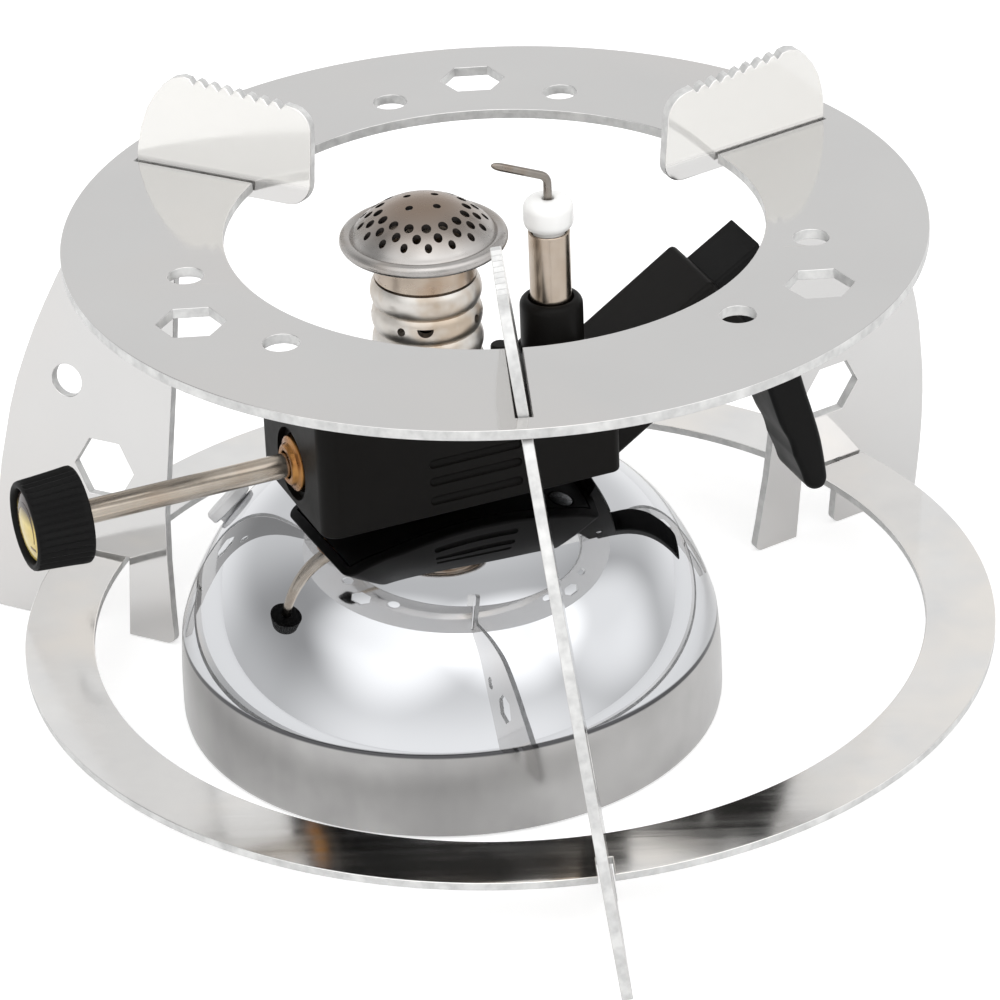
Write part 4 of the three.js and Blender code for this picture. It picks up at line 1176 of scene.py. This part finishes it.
# Igniter: socket, steel sleeve, white bead and the bent pointed wire
sparkSizes = {
    "x": 17.5, "wire": 0.6, "foot": 56.5, "bend": 79.1, "bendRadius": 1.6, "tipX": 9.2, "tipZ": 82.6,
    "straight": 2, "bendSteps": 12, "roundness": 6, "taper": 1.5, "flatten": 0.8,
    "tipSizes": [(1, 1), (0.66, 0.93), (0.4, 0.8), (0.2, 0.62), (0.07, 0.42), (0, 0.22)],
}
socketRings = [
    (1.1, 48.5), (4, 48.5), (4, 52.5), (4.5, 52.5), (4.5, 59.3), (4.46, 59.65), (4.35, 59.95), (4.15, 60.22),
    (3.9, 60.4), (3.65, 60.5), (3.32, 60.5), (3.25, 60.42), (3.25, 56.1), (1.1, 56.1),
]
sleeveRings = [(2.55, 56.4), (2.95, 56.4), (2.95, 70.7), (2.88, 70.8), (2.62, 70.8), (2.55, 70.7)]
beadSizes = {
    "bore": 0.85, "stem": 2.25, "stemFoot": 57.5, "low": 71, "top": 75.9, "radius": 3.55, "round": 1.6,
    "roundEnd": 80, "roundSteps": 8, "lip": 0.7, "mouth": [(1, -0.03), (0.85, -0.2)],
}


def beadRings():
    s = beadSizes
    orbit = s["radius"] - s["round"]
    rings = [(s["bore"], s["stemFoot"]), (s["stem"], s["stemFoot"]), (s["stem"], s["low"])]
    rings += arcPoints(orbit, s["low"] + s["round"], s["round"], -s["roundEnd"], 0, s["roundSteps"])
    rings += arcPoints(orbit, s["top"] - s["round"], s["round"], 0, s["roundEnd"], s["roundSteps"])
    rings += [(s["bore"] + s["lip"], s["top"])]
    return rings + [(radius, s["top"] + fall) for radius, fall in s["mouth"]]


def makeWire():
    s = sparkSizes
    slope = math.atan2(s["tipZ"] - s["bend"], s["tipX"] - s["x"])
    sweep = slope - math.pi / 2
    run = s["bendRadius"] * math.tan(sweep / 2)
    centreX, centreZ = s["x"] - s["bendRadius"], s["bend"] - run
    points = [(s["x"], 0, s["foot"], 1), (s["x"], 0, centreZ - s["straight"], 1)]
    bend = arcPoints(centreX, centreZ, s["bendRadius"], 0, math.degrees(sweep), s["bendSteps"])
    points += [(x, 0, z, 1) for x, z in bend]
    for share, size in s["tipSizes"]:
        back = share * s["taper"]
        points.append((s["tipX"] - back * math.cos(slope), 0, s["tipZ"] - back * math.sin(slope), size))
    wire = curvePiece("electrode", [points], False, dimensions="3D", bevel_depth=s["wire"] * mm,
                      bevel_resolution=s["roundness"], use_fill_caps=True)
    selectWhere(wire, "VERT", lambda point: point.x < s["tipX"] + s["taper"])
    bpy.ops.transform.resize(value=(1, s["flatten"], 1), center_override=(0, 0, 0))
    setMode("OBJECT")
    setInStand(wire)
    finishPiece(wire, ["wireSteel"], "burner", ["electrode"], smooth="thin")


makeTurned("igniterSocket", socketRings, "middle", "housingBlack", "igniter_socket",
           sparkSizes["x"])
makeTurned("igniterTube", sleeveRings, "wide", "sleeveSteel", "igniter_tube",
           sparkSizes["x"])
makeTurned("igniterBead", beadRings(), "bead", "beadWhite", "igniter_insulator",
           sparkSizes["x"], "ribbed")
makeWire()
print("igniter made")

# Trigger lever: outline drawn out and up from its pivot pin
leverSizes = {"half": 5, "edge": 0.8, "boss": 3.1, "bossEdge": 0.4, "padX": -6.7, "padZ": -9, "pad": 2,
              "padHalf": 2.5, "web": 1.3, "pin": 1, "pinHalf": 7, "pinEdge": 0.25, "smooth": 5}
leverTop = [(-2.7, 2), (0.3, 4.6), (10.69, 11.11)]
leverNose = [(10.69, 11.11), (13.31, 4.51), (15.29, -3.51), (17.5, -12.3), (19.1, -17.8), (20.4, -22.7),
             (21.25, -28), (21.3, -29.7), (20.7, -30.7), (19.6, -30.95), (18.5, -30.5), (17.8, -29.5),
             (17.2, -27.6), (16, -24.6)]
leverBack = [(16, -24.6), (15.3, -22), (13.7, -18.5), (11.2, -10.49), (8.29, -2), (4, -3.1), (1.4, -3.1),
             (-2.81, -1.5)]


# A smooth line through given points
def smoothLine(points, steps):
    line = []
    for i in range(len(points) - 1):
        start, end = points[i], points[i + 1]
        before, after = points[max(i - 1, 0)], points[min(i + 2, len(points) - 1)]
        for k in range(steps):
            t = k / steps
            weights = ((before, -t + 2 * t ** 2 - t ** 3), (start, 2 - 5 * t ** 2 + 3 * t ** 3),
                       (end, t + 4 * t ** 2 - 3 * t ** 3), (after, t ** 3 - t ** 2))
            line.append(tuple(sum(weight * point[axis] for point, weight in weights) / 2 for axis in (0, 1)))
    return line


def makeLever():
    s = leverSizes
    outline = leverTop[:-1] + smoothLine(leverNose, s["smooth"])
    outline += smoothLine(leverBack, s["smooth"]) + [leverBack[-1]]
    lever = sheetPiece("lever", outline, [], 2 * s["half"], s["edge"], bevelSteps)
    boss = barPiece("boss", s["boss"], -s["half"], s["half"], facets["middle"])
    bevelWhere(boss, s["bossEdge"], isLevel)
    combine(lever, boss, "UNION")
    length = math.hypot(s["padX"], s["padZ"])
    web = boxPiece("web", (0, -s["web"], -s["padHalf"]), (length, s["web"], s["padHalf"]))
    web.rotation_euler = (0, 0, math.atan2(s["padZ"], s["padX"]))
    applyPlace(web)
    combine(lever, web, "UNION")
    pad = barPiece("pad", s["pad"], -s["padHalf"], s["padHalf"], facets["small"])
    moveTo(pad, s["padX"], s["padZ"], 0)
    combine(lever, pad, "UNION")
    pinHole = barPiece("pinHole", s["pin"] + seatGap, -s["pinHalf"], s["pinHalf"], facets["pin"])
    combine(lever, pinHole)
    faceOutwards(lever)
    standUp(lever)
    moveTo(lever, armSizes["pivotX"], 0, armSizes["pivotZ"])
    setInStand(lever)
    for face in lever.data.polygons:
        face.material_index = 0
    finishPiece(lever, ["leverBlack"], "trigger", ["lever"], flats=True)


def makeLeverPin():
    s = leverSizes
    pin = crossBar("leverPin", s["pin"], s["pinHalf"], armSizes["pivotX"], armSizes["pivotZ"])
    bevelWhere(pin, s["pinEdge"], lambda a, b: abs(a.y - b.y) < weldGap)
    setInStand(pin)
    finishPiece(pin, ["hiddenSteel"], "burner", ["lever_pin"])


makeLever()
makeLeverPin()
print("trigger made")

# Carried-over pieces that stay inside
innerFinishes = {
    "tank_base": "hiddenSteel", "supply_tube": "sealBlack", "body_floor": "housingBlack",
    "screw_front": "hiddenSteel", "screw_rear": "hiddenSteel", "valve_block": "brassParts",
    "gas_jet": "brassParts", "gland_seal": "sealBlack", "igniter_lead": "sealBlack",
    "piezo_unit": "housingBlack", "piezo_plunger": "leverBlack",
}
for name, finish in innerFinishes.items():
    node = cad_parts[name]
    node.data.materials.clear()
    node.data.materials.append(finishes[finish])

print("burner finished")
